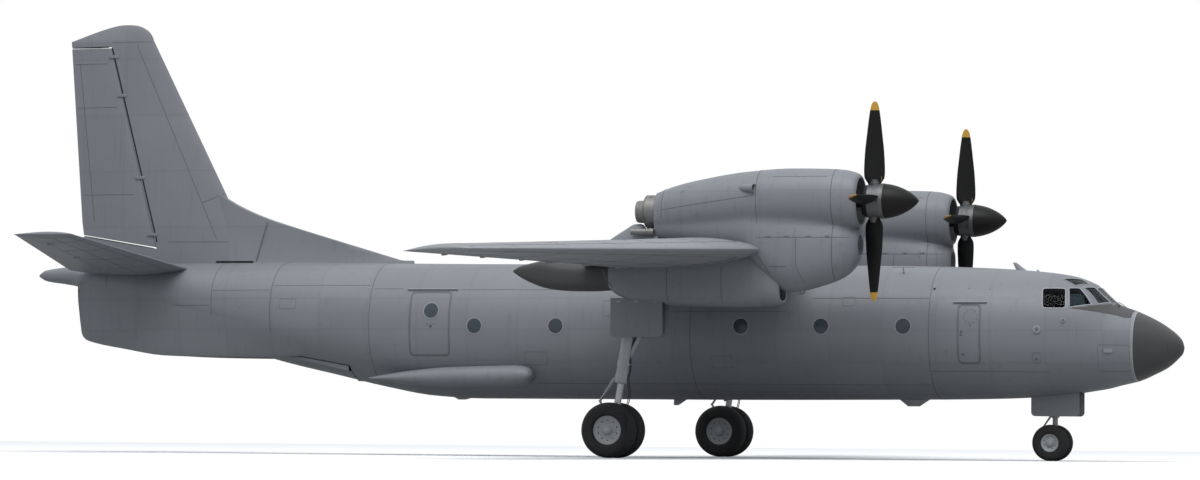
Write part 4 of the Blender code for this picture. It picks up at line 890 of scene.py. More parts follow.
body_seams, frames, panes, bolts = Shape(), Shape(), Shape(), Shape()
for x, start, end in ((-10.10, -28, 208), (-7.65, -28, 208), (-6.32, -28, 208), (-4.15, -88, 268),
                      (7.22, -88, 268), (2.48, -88, 268)):
    body_seams.ribbon(hoop(x, start, end, 90), SEAM_WIDTH, SEAM_RISE)
LINES = ((3.28, -7.62, -6.34), (3.37, -6.30, -4.20), (3.30, -4.10, -3.5), (3.28, -2.3, 0.9),
         (2.84, 0.90, 4.4),
         (3.10, 4.9, 7.20), (1.70, 7.25, 9.50), (1.44, -4.1, 7.20), (2.98, -10.05, -7.70))
for side, sign in SIDES:
    for z, x0, x1 in LINES:
        line = dense([(x0, z), (x1, z)], 0.2, closed=False)
        body_seams.ribbon(skin_outline(line, sign), SEAM_WIDTH * 0.8, SEAM_RISE * 0.8)
    for x0, x1, z0, z1 in (AFT_DOOR, CREW_DOOR):
        for inset, width in ((0.0, 0.013), (0.022, 0.009)):
            door = dense(rounded_outline(x0 + inset, x1 - inset, z0 + inset, z1 - inset, 0.09 - inset, 7))
            body_seams.ribbon(skin_outline(door, sign), width, 0.0030, closed=True)
        gutter = dense([(x0 - 0.10, z1 + 0.038), (x1 + 0.11, z1 + 0.038)], closed=False)
        frames.ribbon(skin_outline(gutter, sign), 0.020, 0.034, sink=0.02)
    # Round windows with a raised rim, and a ring of screws round each rim
    for x in (*WINDOW_PLACES, -2.85):
        z = WINDOW_LEVEL if x > -2.5 else 2.86
        frames.ribbon(skin_outline(circle(x, z, WINDOW_RADIUS + 0.012), sign), 0.022, 0.006, closed=True)
        patch(panes, circle(x, z, WINDOW_RADIUS + 0.004), sign, 0.002)
        for at in skin_outline(circle(x, z, WINDOW_RADIUS + 0.040, 16), sign):
            bolts.turned([(-0.003, 0.005), (0.002, 0.005), (0.003, 0.003)], *at, 8)
    # Crew door: the dashed ring round its small window plate, a recessed handle, and marks of wear
    for k in range(10):
        arc_points = [(8.03 + 0.13 * math.cos(a), 2.75 + 0.13 * math.sin(a))
                      for a in spread(2 * math.pi * k / 10, 2 * math.pi * (k + 0.6) / 10, 5)]
        body_seams.ribbon(skin_outline(arc_points, sign), 0.010, 0.002)
    for x, z, size in ((8.03, 2.58, 0.016), (-2.85, 2.56, 0.030), (-2.92, 2.60, 0.012), (-2.78, 2.60, 0.012)):
        stud(body_seams, skin_side(x, z, sign), size, 0.008, 0.7, 20)
    for x, z in ((7.86, 2.46), (7.85, 2.40), (7.88, 2.03), (9.28, 1.94)):
        notch = dense([(x - 0.035, z - 0.022), (x + 0.035, z - 0.022), (x, z + 0.035)], 0.05)
        patch(body_seams, notch, sign, 0.003, shares=(0.1, 1.0))
    # Round vents and sensor bosses
    for x, z, size in ((9.30, 2.50, 0.078), (9.785, 2.68, 0.050)):
        at = skin_side(x, z, sign)
        vent = ((-0.003, 1), (0.010, 1), (0.020, 0.86), (0.022, 0.55), (0.012, 0.45), (0.012, 0.05))
        frames.turned([(s, size * share) for s, share in vent], *at, 28)
        body_seams.turned([(0.012, size * 0.30), (0.030, size * 0.26), (0.034, size * 0.12)], *at, 16)
    for x, z, size in ((7.55, 2.10, 0.022), (-3.6, 2.2, 0.022), (-5.2, 2.6, 0.026), (2.4, 2.05, 0.022),
                       (6.1, 2.0, 0.022), (-7.0, 2.95, 0.022), (10.60, 1.96, 0.018), (9.25, 2.42, 0.012),
                       (9.78, 2.60, 0.012), (8.35, 3.28, 0.016), (7.95, 3.30, 0.016)):
        stud(bolts, skin_side(x, z, sign), size, 0.008, 0.75, 24)
    oblong = dense(rounded_outline(10.52, 10.68, 2.075, 2.15, 0.030, 6), 0.03)
    patch(frames, oblong, sign, 0.022, shares=(0.2, 0.8, 1.0))
    for x0, x1, z0, z1 in ((9.21, 9.36, 1.87, 2.06), (10.42, 10.98, 1.72, 2.22), (2.9, 3.3, 1.75, 1.98),
                           (-0.9, -0.45, 1.80, 2.05), (-6.1, -5.75, 2.9, 3.1), (5.5, 5.75, 2.95, 3.12),
                           (0.70, 1.90, 2.75, 3.06)):
        cap = dense(rounded_outline(x0, x1, z0, z1, 0.03, 5))
        body_seams.ribbon(skin_outline(cap, sign), 0.008, 0.0018, closed=True)
body_seams.finish("body_seams", seam_paint, "fuselage_skin")
frames.finish("window_rims_and_gutters", trim_paint, "fuselage_skin")
panes.finish("cabin_windows", cabin_glass_painted_shade, "cockpit_glass")
bolts.finish("body_fittings", body_paint, "fuselage_skin")
print(len(WINDOW_PLACES) + 1, "round windows a side")

# %% [markdown]
# Blisters and antennas: the long blister low on each side, which is round in front and pointed
# behind, blade antennas on the roof, and the small fairings under the belly.

# %% Blisters and antennas
SIDE_STRIP = ((-4.15, 0.02), (-3.9, 0.06), (-3.3, 0.14), (-2.4, 0.20), (-1.1, 0.21), (-0.85, 0.16),
              (-0.77, 0.08))
for side, sign in SIDES:
    strip = Shape()
    rings = []
    for x in stations(-4.15, -1.1, 0.12) + [-1.02, -0.95, -0.90, -0.85, -0.81, -0.785, -0.772, -0.765]:
        rise = along(SIDE_STRIP, 1, x) * (1 if x < -0.78 else 0.6)
        middle = 1.555 + 0.02 * (x + 2.4)
        rings.append(oval_at(x, sign * 1.30, middle + rise, middle - rise, 0.10 + 0.7 * rise))
    strip.loft(rings)
    strip.finish(f"side_blister_{side}", body_paint, "fuselage_skin")


def blade_antenna(shape, foot, length, height, lean, thick, way):
    """A swept blade: a lens-shaped foot that shrinks and leans back towards its top."""
    foot = Vector(foot)
    rings = []
    for t in spread(0, 1, 6):
        chord, half = blend(length, length * 0.34, t), blend(thick, thick * 0.5, t) / 2
        back = foot + Vector((-lean * t, 0, way * height * t))
        rings.append([back + Vector((chord * (0.5 - s), half * math.sin(math.pi * s) * face, 0))
                      for face, row in ((1, spread(0, 1, 9)), (-1, spread(1, 0, 9)[1:-1])) for s in row])
    shape.loft(rings)


fins = Shape()
# Antennas as (x, foot level, length, height, lean, thickness): three on the roof, four below the belly
for x, z, *form in ((8.74, 3.66, 0.22, 0.17, 0.15, 0.030), (9.06, 3.64, 0.08, 0.05, 0.02, 0.040),
                    (3.2, 3.79, 0.16, 0.12, 0.06, 0.028), (-2.62, 1.16, 0.42, 0.045, 0.05, 0.10),
                    (1.90, 1.16, 0.30, 0.13, 0.10, 0.035), (2.82, 1.16, 0.12, 0.05, 0.02, 0.06),
                    (6.63, 1.20, 0.70, 0.165, 0.02, 0.16)):
    blade_antenna(fins, (x, 0, z), *form, way=1 if z > 2 else -1)
for sign in (-1, 1):
    place, normal = skin_side(6.58, 3.60, sign)
    crown = place + normal * 0.13
    fins.turned([(-0.01, 0.022), (0.02, 0.018), (0.13, 0.010)], place, normal, 12)
    fins.tube([crown + Vector((-0.21, 0, 0)), crown + Vector((0.21, 0, 0))], 0.010, 10)
fins.finish("antennas", frame_paint, "fuselage_skin", bevel=0.002)
print("blisters and antennas ready")

# %% [markdown]
# The cockpit windows. Each pane is a thin sheet of real glass that follows the skin, with a pale
# frame round it. To find where a pane's outline meets the skin, `on_skin` searches along the
# direction in which the pane faces. Dark paint in front of the windscreen keeps the sun's glare
# away from the pilots.

# %% Cockpit glass, frames and anti-glare paint
def within(point):
    if not FUSELAGE[0][0] < point.x < FUSELAGE[-1][0]:
        return False
    middle, rise, half = oval_row(FUSELAGE, point.x)
    level = abs(point.z - middle) / rise
    return (abs(point.y) / half) ** SECTION_POWER + level**SECTION_POWER < 1


def on_skin(start, out):
    low, high = -0.35, 0.35
    for _ in range(16):
        middle = (low + high) / 2
        if within(start + out * middle):
            low = middle
        else:
            high = middle
    return start + out * low


PANE_FACE, PANE_BACK, FRAME_WIDTH = 0.008, 0.016, 0.020
cockpit_frames = Shape()
for side, sign in SIDES:
    glazing = Shape()
    for pane in PANES:
        outline, out = pane_frame(sign, pane)
        middle = sum(outline, Vector()) / len(outline)
        rim = [on_skin(point, out) for point in outline]
        rows = [[on_skin(middle.lerp(point, share), out) for point in outline] for share in (0.04, 0.4, 0.75)]
        rows.append(rim)
        glazing.loft([[p - out * PANE_FACE for p in row] for row in rows]
                     + [[p - out * PANE_BACK for p in row] for row in reversed(rows)])
        # The frame lies just outside the opening
        beside = [point + (point - middle).normalized() * (FRAME_WIDTH / 2) for point in rim]
        places = [(on_skin(point, out), out) for point in beside]
        cockpit_frames.ribbon(places, FRAME_WIDTH, 0.006, sink=0.02, closed=True)
    glazing.finish(f"cockpit_panes_{side}", pane_glass, "cockpit_glass",
                   ["cockpit_glazing"] if sign < 0 else [])
cockpit_frames.finish("cockpit_frames", frame_paint, "fuselage_skin")

# The patch as (x, lower edge, upper edge); from ROOF_START on it runs over the top of the nose
GLARE = ((9.88, 2.915, 2.925), (10.10, 2.892, 2.935), (10.27, 2.868, 2.965), (10.40, 2.845, 2.985),
         (10.52, 2.825, 3.005), (10.62, 2.806, 3.025), (10.70, 2.79, 3.03), (10.90, 2.742, 3.0),
         (10.965, 2.745, 2.9))
ROOF_START, GLARE_END = 10.62, 10.965
GLARE_LIFT, GLARE_SINK = 0.004, -0.006
glare = Shape()
for sign in (-1, 1):
    rings = []
    for x in spread(9.88, ROOF_START, 20):
        low, high = along(GLARE, 1, x), min(along(GLARE, 2, x), along(FUSELAGE, 1, x) - 0.002)
        line = [skin_side(x, z, sign, GLARE_LIFT)[0] for z in spread(low, high, 7)]
        rings.append(line + [skin_side(x, z, sign, GLARE_SINK)[0] for z in spread(high, low, 7)])
    glare.loft(rings)
rings = []
for x in spread(ROOF_START - 0.004, GLARE_END, 16):
    low = skin_angle(x, along(GLARE, 1, x), 1)
    turns = spread(low, math.pi - low, 41)
    over = [skin_at(x, a, GLARE_LIFT)[0] for a in turns]
    rings.append(over + [skin_at(x, a, GLARE_SINK)[0] for a in reversed(turns)])
glare.loft(rings)
glare.finish("anti_glare_paint_skin", glare_paint, "fuselage_skin")
radome_rings = Shape()
for offset, width, rise in ((0.004, 0.026, 0.003), (-0.025, 0.016, 0.004)):
    radome_rings.ribbon(hoop(RADOME_SEAM + offset, -90, 269, 90), width, rise, closed=True)
radome_rings.finish("radome_joint", frame_paint, "fuselage_skin")

wipers = Shape()
for sign in (-1, 1):
    out = Vector((0.6, 0, 0.8))
    foot = on_skin(Vector((10.74, sign * 0.34, 3.02)), out)
    tip = on_skin(Vector((10.60, sign * 0.10, 3.06)), out)
    up = Vector((0.012, 0, 0.016))
    wipers.turned([(0, 0.020), (0.02, 0.018), (0.03, 0.008)], foot, out, 14)
    wipers.tube([foot + up, blend(foot, tip, 0.5) + up * 1.6, tip + up], 0.006, 8)
wipers.finish("wipers", dark_metal, "fuselage_skin")
print("cockpit panes", 2 * len(PANES))

# %% [markdown]
# Inside the cockpit: a lining and floor, two seats with headrests and belts, the instrument panel
# with its dials, a glare shield, a centre console with levers, and two control columns.

# %% Cockpit inside
inside = Shape()
rings = []
for x in stations(7.30, 10.85, 0.3):
    half = abs(skin_side(x, 1.76, 1)[0].y) - COCKPIT_WALL - 0.01
    rings.append([(x, -half, 1.753), (x, half, 1.753), (x, half, 1.766), (x, -half, 1.766)])
inside.loft(rings)
inside.box((7.26, -1.20, 1.78), (7.30, 1.20, 3.30))
for x in (8.2, 8.75, 9.30):
    places = [skin_at(x, math.radians(a), -COCKPIT_WALL - 0.001) for a in spread(-10, 190, 40)]
    inside.ribbon([(p, -n) for p, n in places], 0.045, 0.022, sink=0.004)
inside.finish("cockpit_floor_and_frames", cockpit_lining, "fuselage_skin")

for side, sign in SIDES:
    y = sign * 0.55
    seat = Shape()
    seat.box((9.02, y - 0.20, 1.96), (9.46, y + 0.20, 2.06))
    seat.box((9.06, y - 0.22, 2.06), (9.49, y + 0.22, 2.17))
    back_rows = ((0, 0.21, 2.10), (0.5, 0.225, 2.42), (0.9, 0.20, 2.70), (1.0, 0.17, 2.74))
    seat.loft([[(blend(start, end, t), y + way * h, z) for start, end, way in
                ((9.08, 8.94, -1), (9.08, 8.94, 1), (9.18, 9.04, 1), (9.18, 9.04, -1))]
               for t, h, z in back_rows])
    seat.box((8.95, y - 0.13, 2.76), (9.04, y + 0.13, 2.89))
    for way in (-1, 1):
        seat.box((9.10, y + way * 0.215 - 0.012, 2.28), (9.42, y + way * 0.215 + 0.012, 2.34))
    seat.finish(f"pilot_seat_cushions_{side}", seat_cloth, "seat", [f"pilot_seat_{side}"], bevel=0.02)
    frame_of_seat = Shape()
    frame_of_seat.box((9.06, y - 0.15, 1.765), (9.40, y + 0.15, 1.80))
    for way in (-1, 1):
        frame_of_seat.box((9.08, y + way * 0.14 - 0.015, 1.80), (9.38, y + way * 0.14 + 0.015, 1.97))
        frame_of_seat.tube([(9.00, y + way * 0.06, 2.75), (9.19, y + way * 0.08, 2.50),
                            (9.24, y + way * 0.10, 2.18)],
                           0.012, 8)
    frame_of_seat.tube([(9.86, y, 1.77), (9.82, y, 2.20), (9.78, y, 2.34)], 0.018, 12)
    wheel_rim = [(9.76, y + 0.15 * math.sin(a), 2.36 + 0.10 * math.cos(a)) for a in spread(0.7, 5.58, 18)]
    frame_of_seat.tube(wheel_rim, 0.012, 10)
    frame_of_seat.finish(f"seat_frames_and_yoke_{side}", dark_metal, "seat")

panel = Shape()
outline = [(10.10, 1.752), (10.50, 1.752), (10.50, 2.52), (10.34, 2.84), (10.16, 2.86), (10.10, 2.83),
           (10.14, 2.52)]
panel.plate(outline, -0.62, 0.62)
panel.box((9.70, -0.12, 1.77), (10.12, 0.12, 2.26))
panel.finish("instrument_panel_shell", panel_plastic, "instrument_panel", ["instrument_panel"], bevel=0.012)
dials = Shape()
draw = random.Random(7)
for row in range(3):
    for k in range(11):
        y, z = -0.53 + 0.106 * k, 2.44 + 0.115 * row
        x = blend(10.139, 10.121, row / 2) - 0.003
        size = draw.choice((0.036, 0.040, 0.044))
        dials.turned([(0, size), (0.006, size), (0.008, size * 0.9)], (x, y, z), (-1, 0, 0), 20)
for k in range(6):
    dials.tube([(9.80 + 0.05 * k, -0.06 + 0.024 * k, 2.25), (9.78 + 0.05 * k, -0.06 + 0.024 * k, 2.36)],
               0.008, 8)
dials.finish("dials_and_levers", dial_face, "instrument_panel")
print("cockpit inside ready")

# %% [markdown]
# Wing, fin and tailplane share one class. A panel tapers from a root to a tip, and its section is
# a real aerofoil. The control surfaces have a round nose that turns in a round bay, so they can
# move without touching the fixed part.

# %% Lifting surfaces
NACELLE_Y = 3.95
FLAP_SHARE, ELEVATOR_SHARE = 0.72, 0.64
CONTROL_GAP = 0.007


def thickness_at(s, ratio):
    """Half thickness of the aerofoil, which has a fine nose and is thickest two fifths back."""
    return ratio * (0.70 * math.sqrt(s) + 0.98 * s) * (1 - s) + 0.001


class Panel:
    """A tapered surface from a root to a tip, each given as (span, front, back, level).

    Its drops are how much lower the trailing edge lies than the leading edge, at root and tip.
    `place` gives (front, back, level, thickness ratio, share of the way to the tip).
    """

    def __init__(self, root, tip, ratios, camber=0.0, upright=False, drops=(0.0, 0.0)):
        self.root, self.tip, self.drops = root, tip, drops
        self.ratios, self.camber, self.upright = ratios, camber, upright

    def place(self, span):
        t = (span - self.root[0]) / (self.tip[0] - self.root[0])
        front, back, level = (blend(self.root[i], self.tip[i], t) for i in (1, 2, 3))
        return front, back, level, blend(*self.ratios, t), t

    def surface(self, span, s, upper, thin=1.0):
        front, back, level, ratio, t = self.place(span)
        chord, way = front - back, 1 if upper else -1
        mean = self.camber * chord * 4 * s * (1 - s) - s * blend(*self.drops, t)
        return front - s * chord, level + mean + way * thickness_at(s, ratio) * chord * thin

    def hinge(self, span, s):
        x, high = self.surface(span, s, True)
        low = self.surface(span, s, False)[1]
        return x, (high + low) / 2, 0.965 * (high - low) / 2

    def point(self, span, x, level):
        return Vector((x, level, span) if self.upright else (x, span, level))

    def outline(self, span, thin=1.0, steps=22):
        fractions = [0.5 * (1 - math.cos(math.pi * k / steps)) for k in range(steps + 1)]
        over = [self.surface(span, s, True, thin) for s in reversed(fractions)]
        under = [self.surface(span, s, False, thin) for s in fractions[1:]]
        return [self.point(span, x, level) for x, level in over + under]

    def nose(self, centre, radius, start, end):
        """The round front of a control surface or its bay, from above to below."""
        turns = spread(math.radians(start), math.radians(end), 15)
        return [(centre[0] + radius * math.sin(a), centre[1] + radius * math.cos(a)) for a in turns]

    def flap(self, span, s):
        x, level, radius = self.hinge(span, s)
        rear = spread(s + 0.03, 1.0, 7)
        nose = self.nose((x, level), radius, 6, 174)
        under = [self.surface(span, f, False) for f in rear]
        over = [self.surface(span, f, True) for f in reversed(rear)]
        return [self.point(span, px, pl) for px, pl in nose + under + over]

    def bay(self, span, s, up, down, gap=CONTROL_GAP):
        x, level, radius = self.hinge(span, s)
        far = x - self.place(span)[1] + 0.2
        front = self.nose((x, level), radius + gap, up, 180 - down)
        top, bottom = level + 4 * radius, level - 4 * radius
        rim = [(front[-1][0], bottom), (x - far, bottom), (x - far, top), (front[0][0], top)]
        return [self.point(span, px, pl) for px, pl in front + rim]

    def bay_cutter(self, inner, outer, s, up, down, end_gap):
        step = math.copysign(end_gap, outer - inner)
        ends = (inner - step, outer + step)
        return Shape().loft([self.bay(span, s, up, down) for span in ends]).cutter()

    def skin(self, span, s, upper):
        """(point, outward direction) on the skin."""
        point = self.point(span, *self.surface(span, s, upper))
        back = self.point(span, *self.surface(span, min(s + 0.01, 1.0), upper))
        front = self.point(span, *self.surface(span, max(s - 0.01, 0.0), upper))
        step = 0.01 * (self.tip[0] - self.root[0])
        beside = self.point(span + step, *self.surface(span + step, s, upper))
        normal = (back - front).cross(beside - point).normalized()
        outward = self.point(0, 0, 1 if upper else -1)
        return point, normal if normal.dot(outward) > 0 else -normal

    def rounded_tip(self, edge, length, count=7):
        """(span, thinness) pairs that round a tip off within its own span."""
        turns = spread(0, math.pi / 2, count)
        return [(edge - length * (1 - math.sin(a)), max(math.cos(a), 0.06)) for a in turns]

    def seam(self, shape, places, width=0.012, rise=0.0025):
        """A seam ribbon along (span, chord fraction, upper) places."""
        shape.ribbon([self.skin(*place) for place in places], width, rise)


INNER_FLAP, OUTER_FLAP, AILERON = (1.56, 3.46), (4.86, 9.45), (9.60, 14.20)
CENTRE_HALF, HALF_SPAN = 4.75, 14.60
WING_ROOT, WING_SLOPE = (4.67, 1.19, 3.91), 0.038
ROOT_DROP, TIP_DROP = 0.26, 0.04
WING_TIP, WING_THICK, WING_TIP_THICK, WING_CAMBER = (2.37, 1.20), 0.148, 0.125, 0.018


def wing_panel(sign, outer):
    if not outer:
        return Panel((0.0, *WING_ROOT), (sign * CENTRE_HALF, *WING_ROOT), (WING_THICK, WING_THICK),
                     WING_CAMBER, drops=(ROOT_DROP, ROOT_DROP))
    level = WING_ROOT[2] - WING_SLOPE * (HALF_SPAN - CENTRE_HALF)
    return Panel((sign * CENTRE_HALF, *WING_ROOT), (sign * HALF_SPAN, *WING_TIP, level),
                 (WING_THICK, WING_TIP_THICK), WING_CAMBER, drops=(ROOT_DROP, TIP_DROP))


def wing_cutter(y):
    """The wing's own form on both sides of a nacelle, which cuts its room out of it."""
    return Shape().loft([wing_panel(1, False).outline(v) for v in (y - 0.8, y + 0.8)]).cutter()


def bracket_plates(shape, panel, sign, places, s, corners, half):
    """Upright plates below a hinge, their corners as (x, level) from a place on the lower skin."""
    for y in places:
        x, low = panel.surface(sign * y, s, False)
        shape.plate([(x + dx, low + dz) for dx, dz in corners], sign * (y - half), sign * (y + half))


def control_surface(panel, name, spans, s, paint=painted_highlight_wing_paint, slot="wing_skin", rings=7, foot=None):
    rows = [panel.flap(span, s if isinstance(s, float) else s(span)) for span in spread(*spans, rings)]
    if foot:
        rows[0] = foot(rows[0])
    return Shape().loft(rows).finish(f"{name}_skin", paint, slot, [name], name)


wing_seams, wing_fittings = Shape(), Shape()
centre_panel = wing_panel(1, False)
bays = [wing_panel(sign, False).bay_cutter(*(sign * y for y in INNER_FLAP), FLAP_SHARE, 4, 43, 0.02)
        for _, sign in SIDES]
Shape().loft([centre_panel.outline(y) for y in spread(-CENTRE_HALF, CENTRE_HALF, 9)]).finish(
    "wing_centre_skin", painted_highlight_wing_paint, "wing_skin", ["wing_centre"], cutters=bays)
for side, sign in SIDES:
    inner, outer = wing_panel(sign, False), wing_panel(sign, True)
    control_surface(inner, f"inner_flap_{side}", [sign * y for y in INNER_FLAP], FLAP_SHARE)
    bays = [outer.bay_cutter(*(sign * y for y in OUTER_FLAP), FLAP_SHARE, 4, 43, 0.03),
            outer.bay_cutter(*(sign * y for y in AILERON), FLAP_SHARE, 30, 30, 0.02)]
    spans = spread(sign * (CENTRE_HALF + 0.0003), sign * 14.40, 12)
    rings = [outer.outline(y) for y in spans]
    rings += [outer.outline(sign * y, thin) for y, thin in outer.rounded_tip(HALF_SPAN, 0.15)]
    Shape().loft(rings).finish(f"outer_wing_skin_{side}", painted_highlight_wing_paint, "wing_skin",
                               [f"outer_wing_{side}"], cutters=bays)
    for name, ends in (("outer_flap", OUTER_FLAP), ("aileron", AILERON)):
        control_surface(outer, f"{name}_{side}", [sign * y for y in ends], FLAP_SHARE)
    # Sheet joints of the wing: spars lengthwise, ribs across, on both faces
    for upper in (True, False):
        for s in (0.10, 0.40, 0.66):
            outer.seam(wing_seams, [(sign * y, s, upper) for y in spread(4.80, 14.38, 13)])
            inner.seam(wing_seams, [(sign * y, s, upper) for y in spread(1.50, 3.25, 3)])
        for y in (6.20, 7.90, 9.52, 11.30, 13.00, 14.38):
            outer.seam(wing_seams, [(sign * y, s, upper) for s in spread(0.02, 0.66, 12)])
        outer.seam(wing_seams, [(sign * 4.77, s, upper) for s in spread(0.10, 0.70, 12)], 0.05, 0.004)
    # Hinge brackets of the flaps and the aileron, below the wing
    bracket_plates(wing_fittings, outer, sign, (5.4, 7.1, 8.9), 0.70,
                   ((0.26, 0.015), (0.10, -0.035), (-0.03, -0.045), (-0.05, 0.015)), 0.022)
    bracket_plates(wing_fittings, outer, sign, (10.2, 12.0, 13.7), 0.70,
                   ((0.16, 0.01), (0.05, -0.025), (-0.02, -0.03), (-0.03, 0.01)), 0.014)
    # Fuel caps and inspection plates on the wing's faces
    for y, s, upper, size in ((5.6, 0.25, True, 0.11), (8.4, 0.25, True, 0.11), (11.0, 0.25, True, 0.09),
                              (5.3, 0.52, False, 0.14), (6.9, 0.52, False, 0.14), (9.9, 0.5, False, 0.11),
                              (12.1, 0.5, False, 0.09)):
        at = outer.skin(sign * y, s, upper)
        wing_fittings.turned([(-0.004, size), (0.002, size), (0.003, size - 0.01)], *at, 28)
wing_seams.finish("wing_seams", seam_paint, "wing_skin")
wing_fittings.finish("wing_fittings", painted_highlight_wing_paint, "wing_skin", bevel=0.003)
print("wing span", 2 * HALF_SPAN, "m")

# %% [markdown]
# Fin, dorsal fin and tailplane. The rudder's foot slopes, its hinge line leans more than the
# fin's trailing edge, and a rounded cap closes the top.

# %% Tail surfaces
FIN = Panel((4.46, -7.37, -10.94, 0.0), (8.45, -9.42, -11.25, 0.0), (0.105, 0.09), upright=True)
# The rounded cap as (level, front, back, share of its thickness)
FIN_CAP_ROWS = ((8.45, -9.42, -11.25, 1.0), (8.50, -9.435, -11.10, 0.99), (8.56, -9.465, -10.93, 0.97),
                (8.62, -9.51, -10.75, 0.93), (8.67, -9.57, -10.59, 0.87), (8.71, -9.64, -10.45, 0.78),
                (8.74, -9.71, -10.33, 0.66), (8.76, -9.78, -10.24, 0.52), (8.772, -9.85, -10.16, 0.36),
                (8.778, -9.93, -10.08, 0.15))
DORSAL = ((-8.10, 5.40, 0.12), (-7.45, 5.02, 0.13), (-6.87, 4.78, 0.11), (-6.17, 4.56, 0.08),
          (-5.05, 4.23, 0.05), (-3.72, 3.84, 0.015))
RUDDER_SPAN, RUDDER_HINGE, RUDDER_SLOPE = (4.20, 8.30), ((4.14, -9.31), (8.45, -10.41)), 0.16
RUDDER_GAP, RUDDER_END_GAP = 0.020, 0.036


def rudder_hinge(z):
    (low, foot), (high, top) = RUDDER_HINGE
    return blend(foot, top, (z - low) / (high - low))


def chord_share(z, x):
    front, back = FIN.place(z)[:2]
    return (front - x) / (front - back)


def hinge_share(z):
    return chord_share(z, rudder_hinge(z))


def sloping_foot(ring, drop=0.0):
    return [Vector((p.x, p.y, p.z - drop + RUDDER_SLOPE * (RUDDER_HINGE[0][1] - p.x))) for p in ring]


low, high = RUDDER_SPAN
bay_rings = [FIN.bay(z, hinge_share(z), 30, 30, RUDDER_GAP) for z in (low, high + RUDDER_END_GAP)]
bay_rings[0] = sloping_foot(bay_rings[0], RUDDER_END_GAP)
fin_rings = [FIN.outline(z) for z in spread(3.72, 8.40, 10)]
for z, front, back, thin in FIN_CAP_ROWS:
    cap = Panel((z, front, back, 0.0), (z + 0.01, front, back, 0.0), (0.09, 0.09), upright=True)
    fin_rings.append(cap.outline(z, thin))
Shape().loft(fin_rings).finish("fin_skin", tail_paint, "tail_skin", ["fin"],
                               cutters=[Shape().loft(bay_rings).cutter()])
dorsal = Shape()
rings = []
for x in spread(-3.72, -8.10, 24):
    top, half = along(DORSAL, 1, x), along(DORSAL, 2, x)
    foot, base = half + 0.05, along(FUSELAGE, 1, x) - 0.03
    right = [(foot, base), (blend(foot, half, 0.7), base + 0.09), (half * 0.75, blend(base + 0.09, top, 0.6)),
             (half * 0.55, top - 0.02), (half * 0.30, top - 0.003)]
    left = [(x, -y, max(z, base)) for y, z in right]
    rings.append(left + [(x, y, max(z, base)) for y, z in reversed(right)])
dorsal.loft(rings)
dorsal.finish("dorsal_fin_skin", tail_paint, "tail_skin")
control_surface(FIN, "rudder", RUDDER_SPAN, hinge_share, tail_paint, "tail_skin", 9, sloping_foot)

TAIL_HALF = 5.115


def tail_panel(sign):
    return Panel((sign * 0.30, -8.30, -11.02, 3.68), (sign * TAIL_HALF, -9.00, -10.18, 4.25), (0.105, 0.10))


tail_seams, tail_fittings = Shape(), Shape()
for side, sign in SIDES:
    panel = tail_panel(sign)
    bay = panel.bay_cutter(sign * 0.80, sign * 4.85, ELEVATOR_SHARE, 30, 30, 0.02)
    rings = [panel.outline(sign * y) for y in spread(0.62, 4.95, 9)]
    rings += [panel.outline(sign * y, thin) for y, thin in panel.rounded_tip(TAIL_HALF, 0.12)]
    Shape().loft(rings).finish(f"tailplane_skin_{side}", tail_paint, "tail_skin",
                               [f"tailplane_{side}"], cutters=[bay])
    spans = (sign * 0.80, sign * 4.85)
    control_surface(panel, f"elevator_{side}", spans, ELEVATOR_SHARE, tail_paint, "tail_skin")
    for upper in (True, False):
        for s in (0.09, 0.36):
            panel.seam(tail_seams, [(sign * y, s, upper) for y in spread(1.05, 4.95, 8)], 0.010)
        for y in (1.6, 2.6, 3.6, 4.5, 4.97):
            panel.seam(tail_seams, [(sign * y, s, upper) for s in spread(0.02, 0.58, 9)], 0.010)
    bracket_plates(tail_fittings, panel, sign, (1.3, 2.8, 4.3), 0.62,
                   ((0.16, 0.01), (0.05, -0.02), (-0.05, -0.02), (-0.07, 0.01)), 0.014)

# Sheet joints of the fin, and near-black strips round the rudder, painted shade of its gaps
gap_lines, rudder_seams, fin_seals = Shape(), Shape(), Shape()
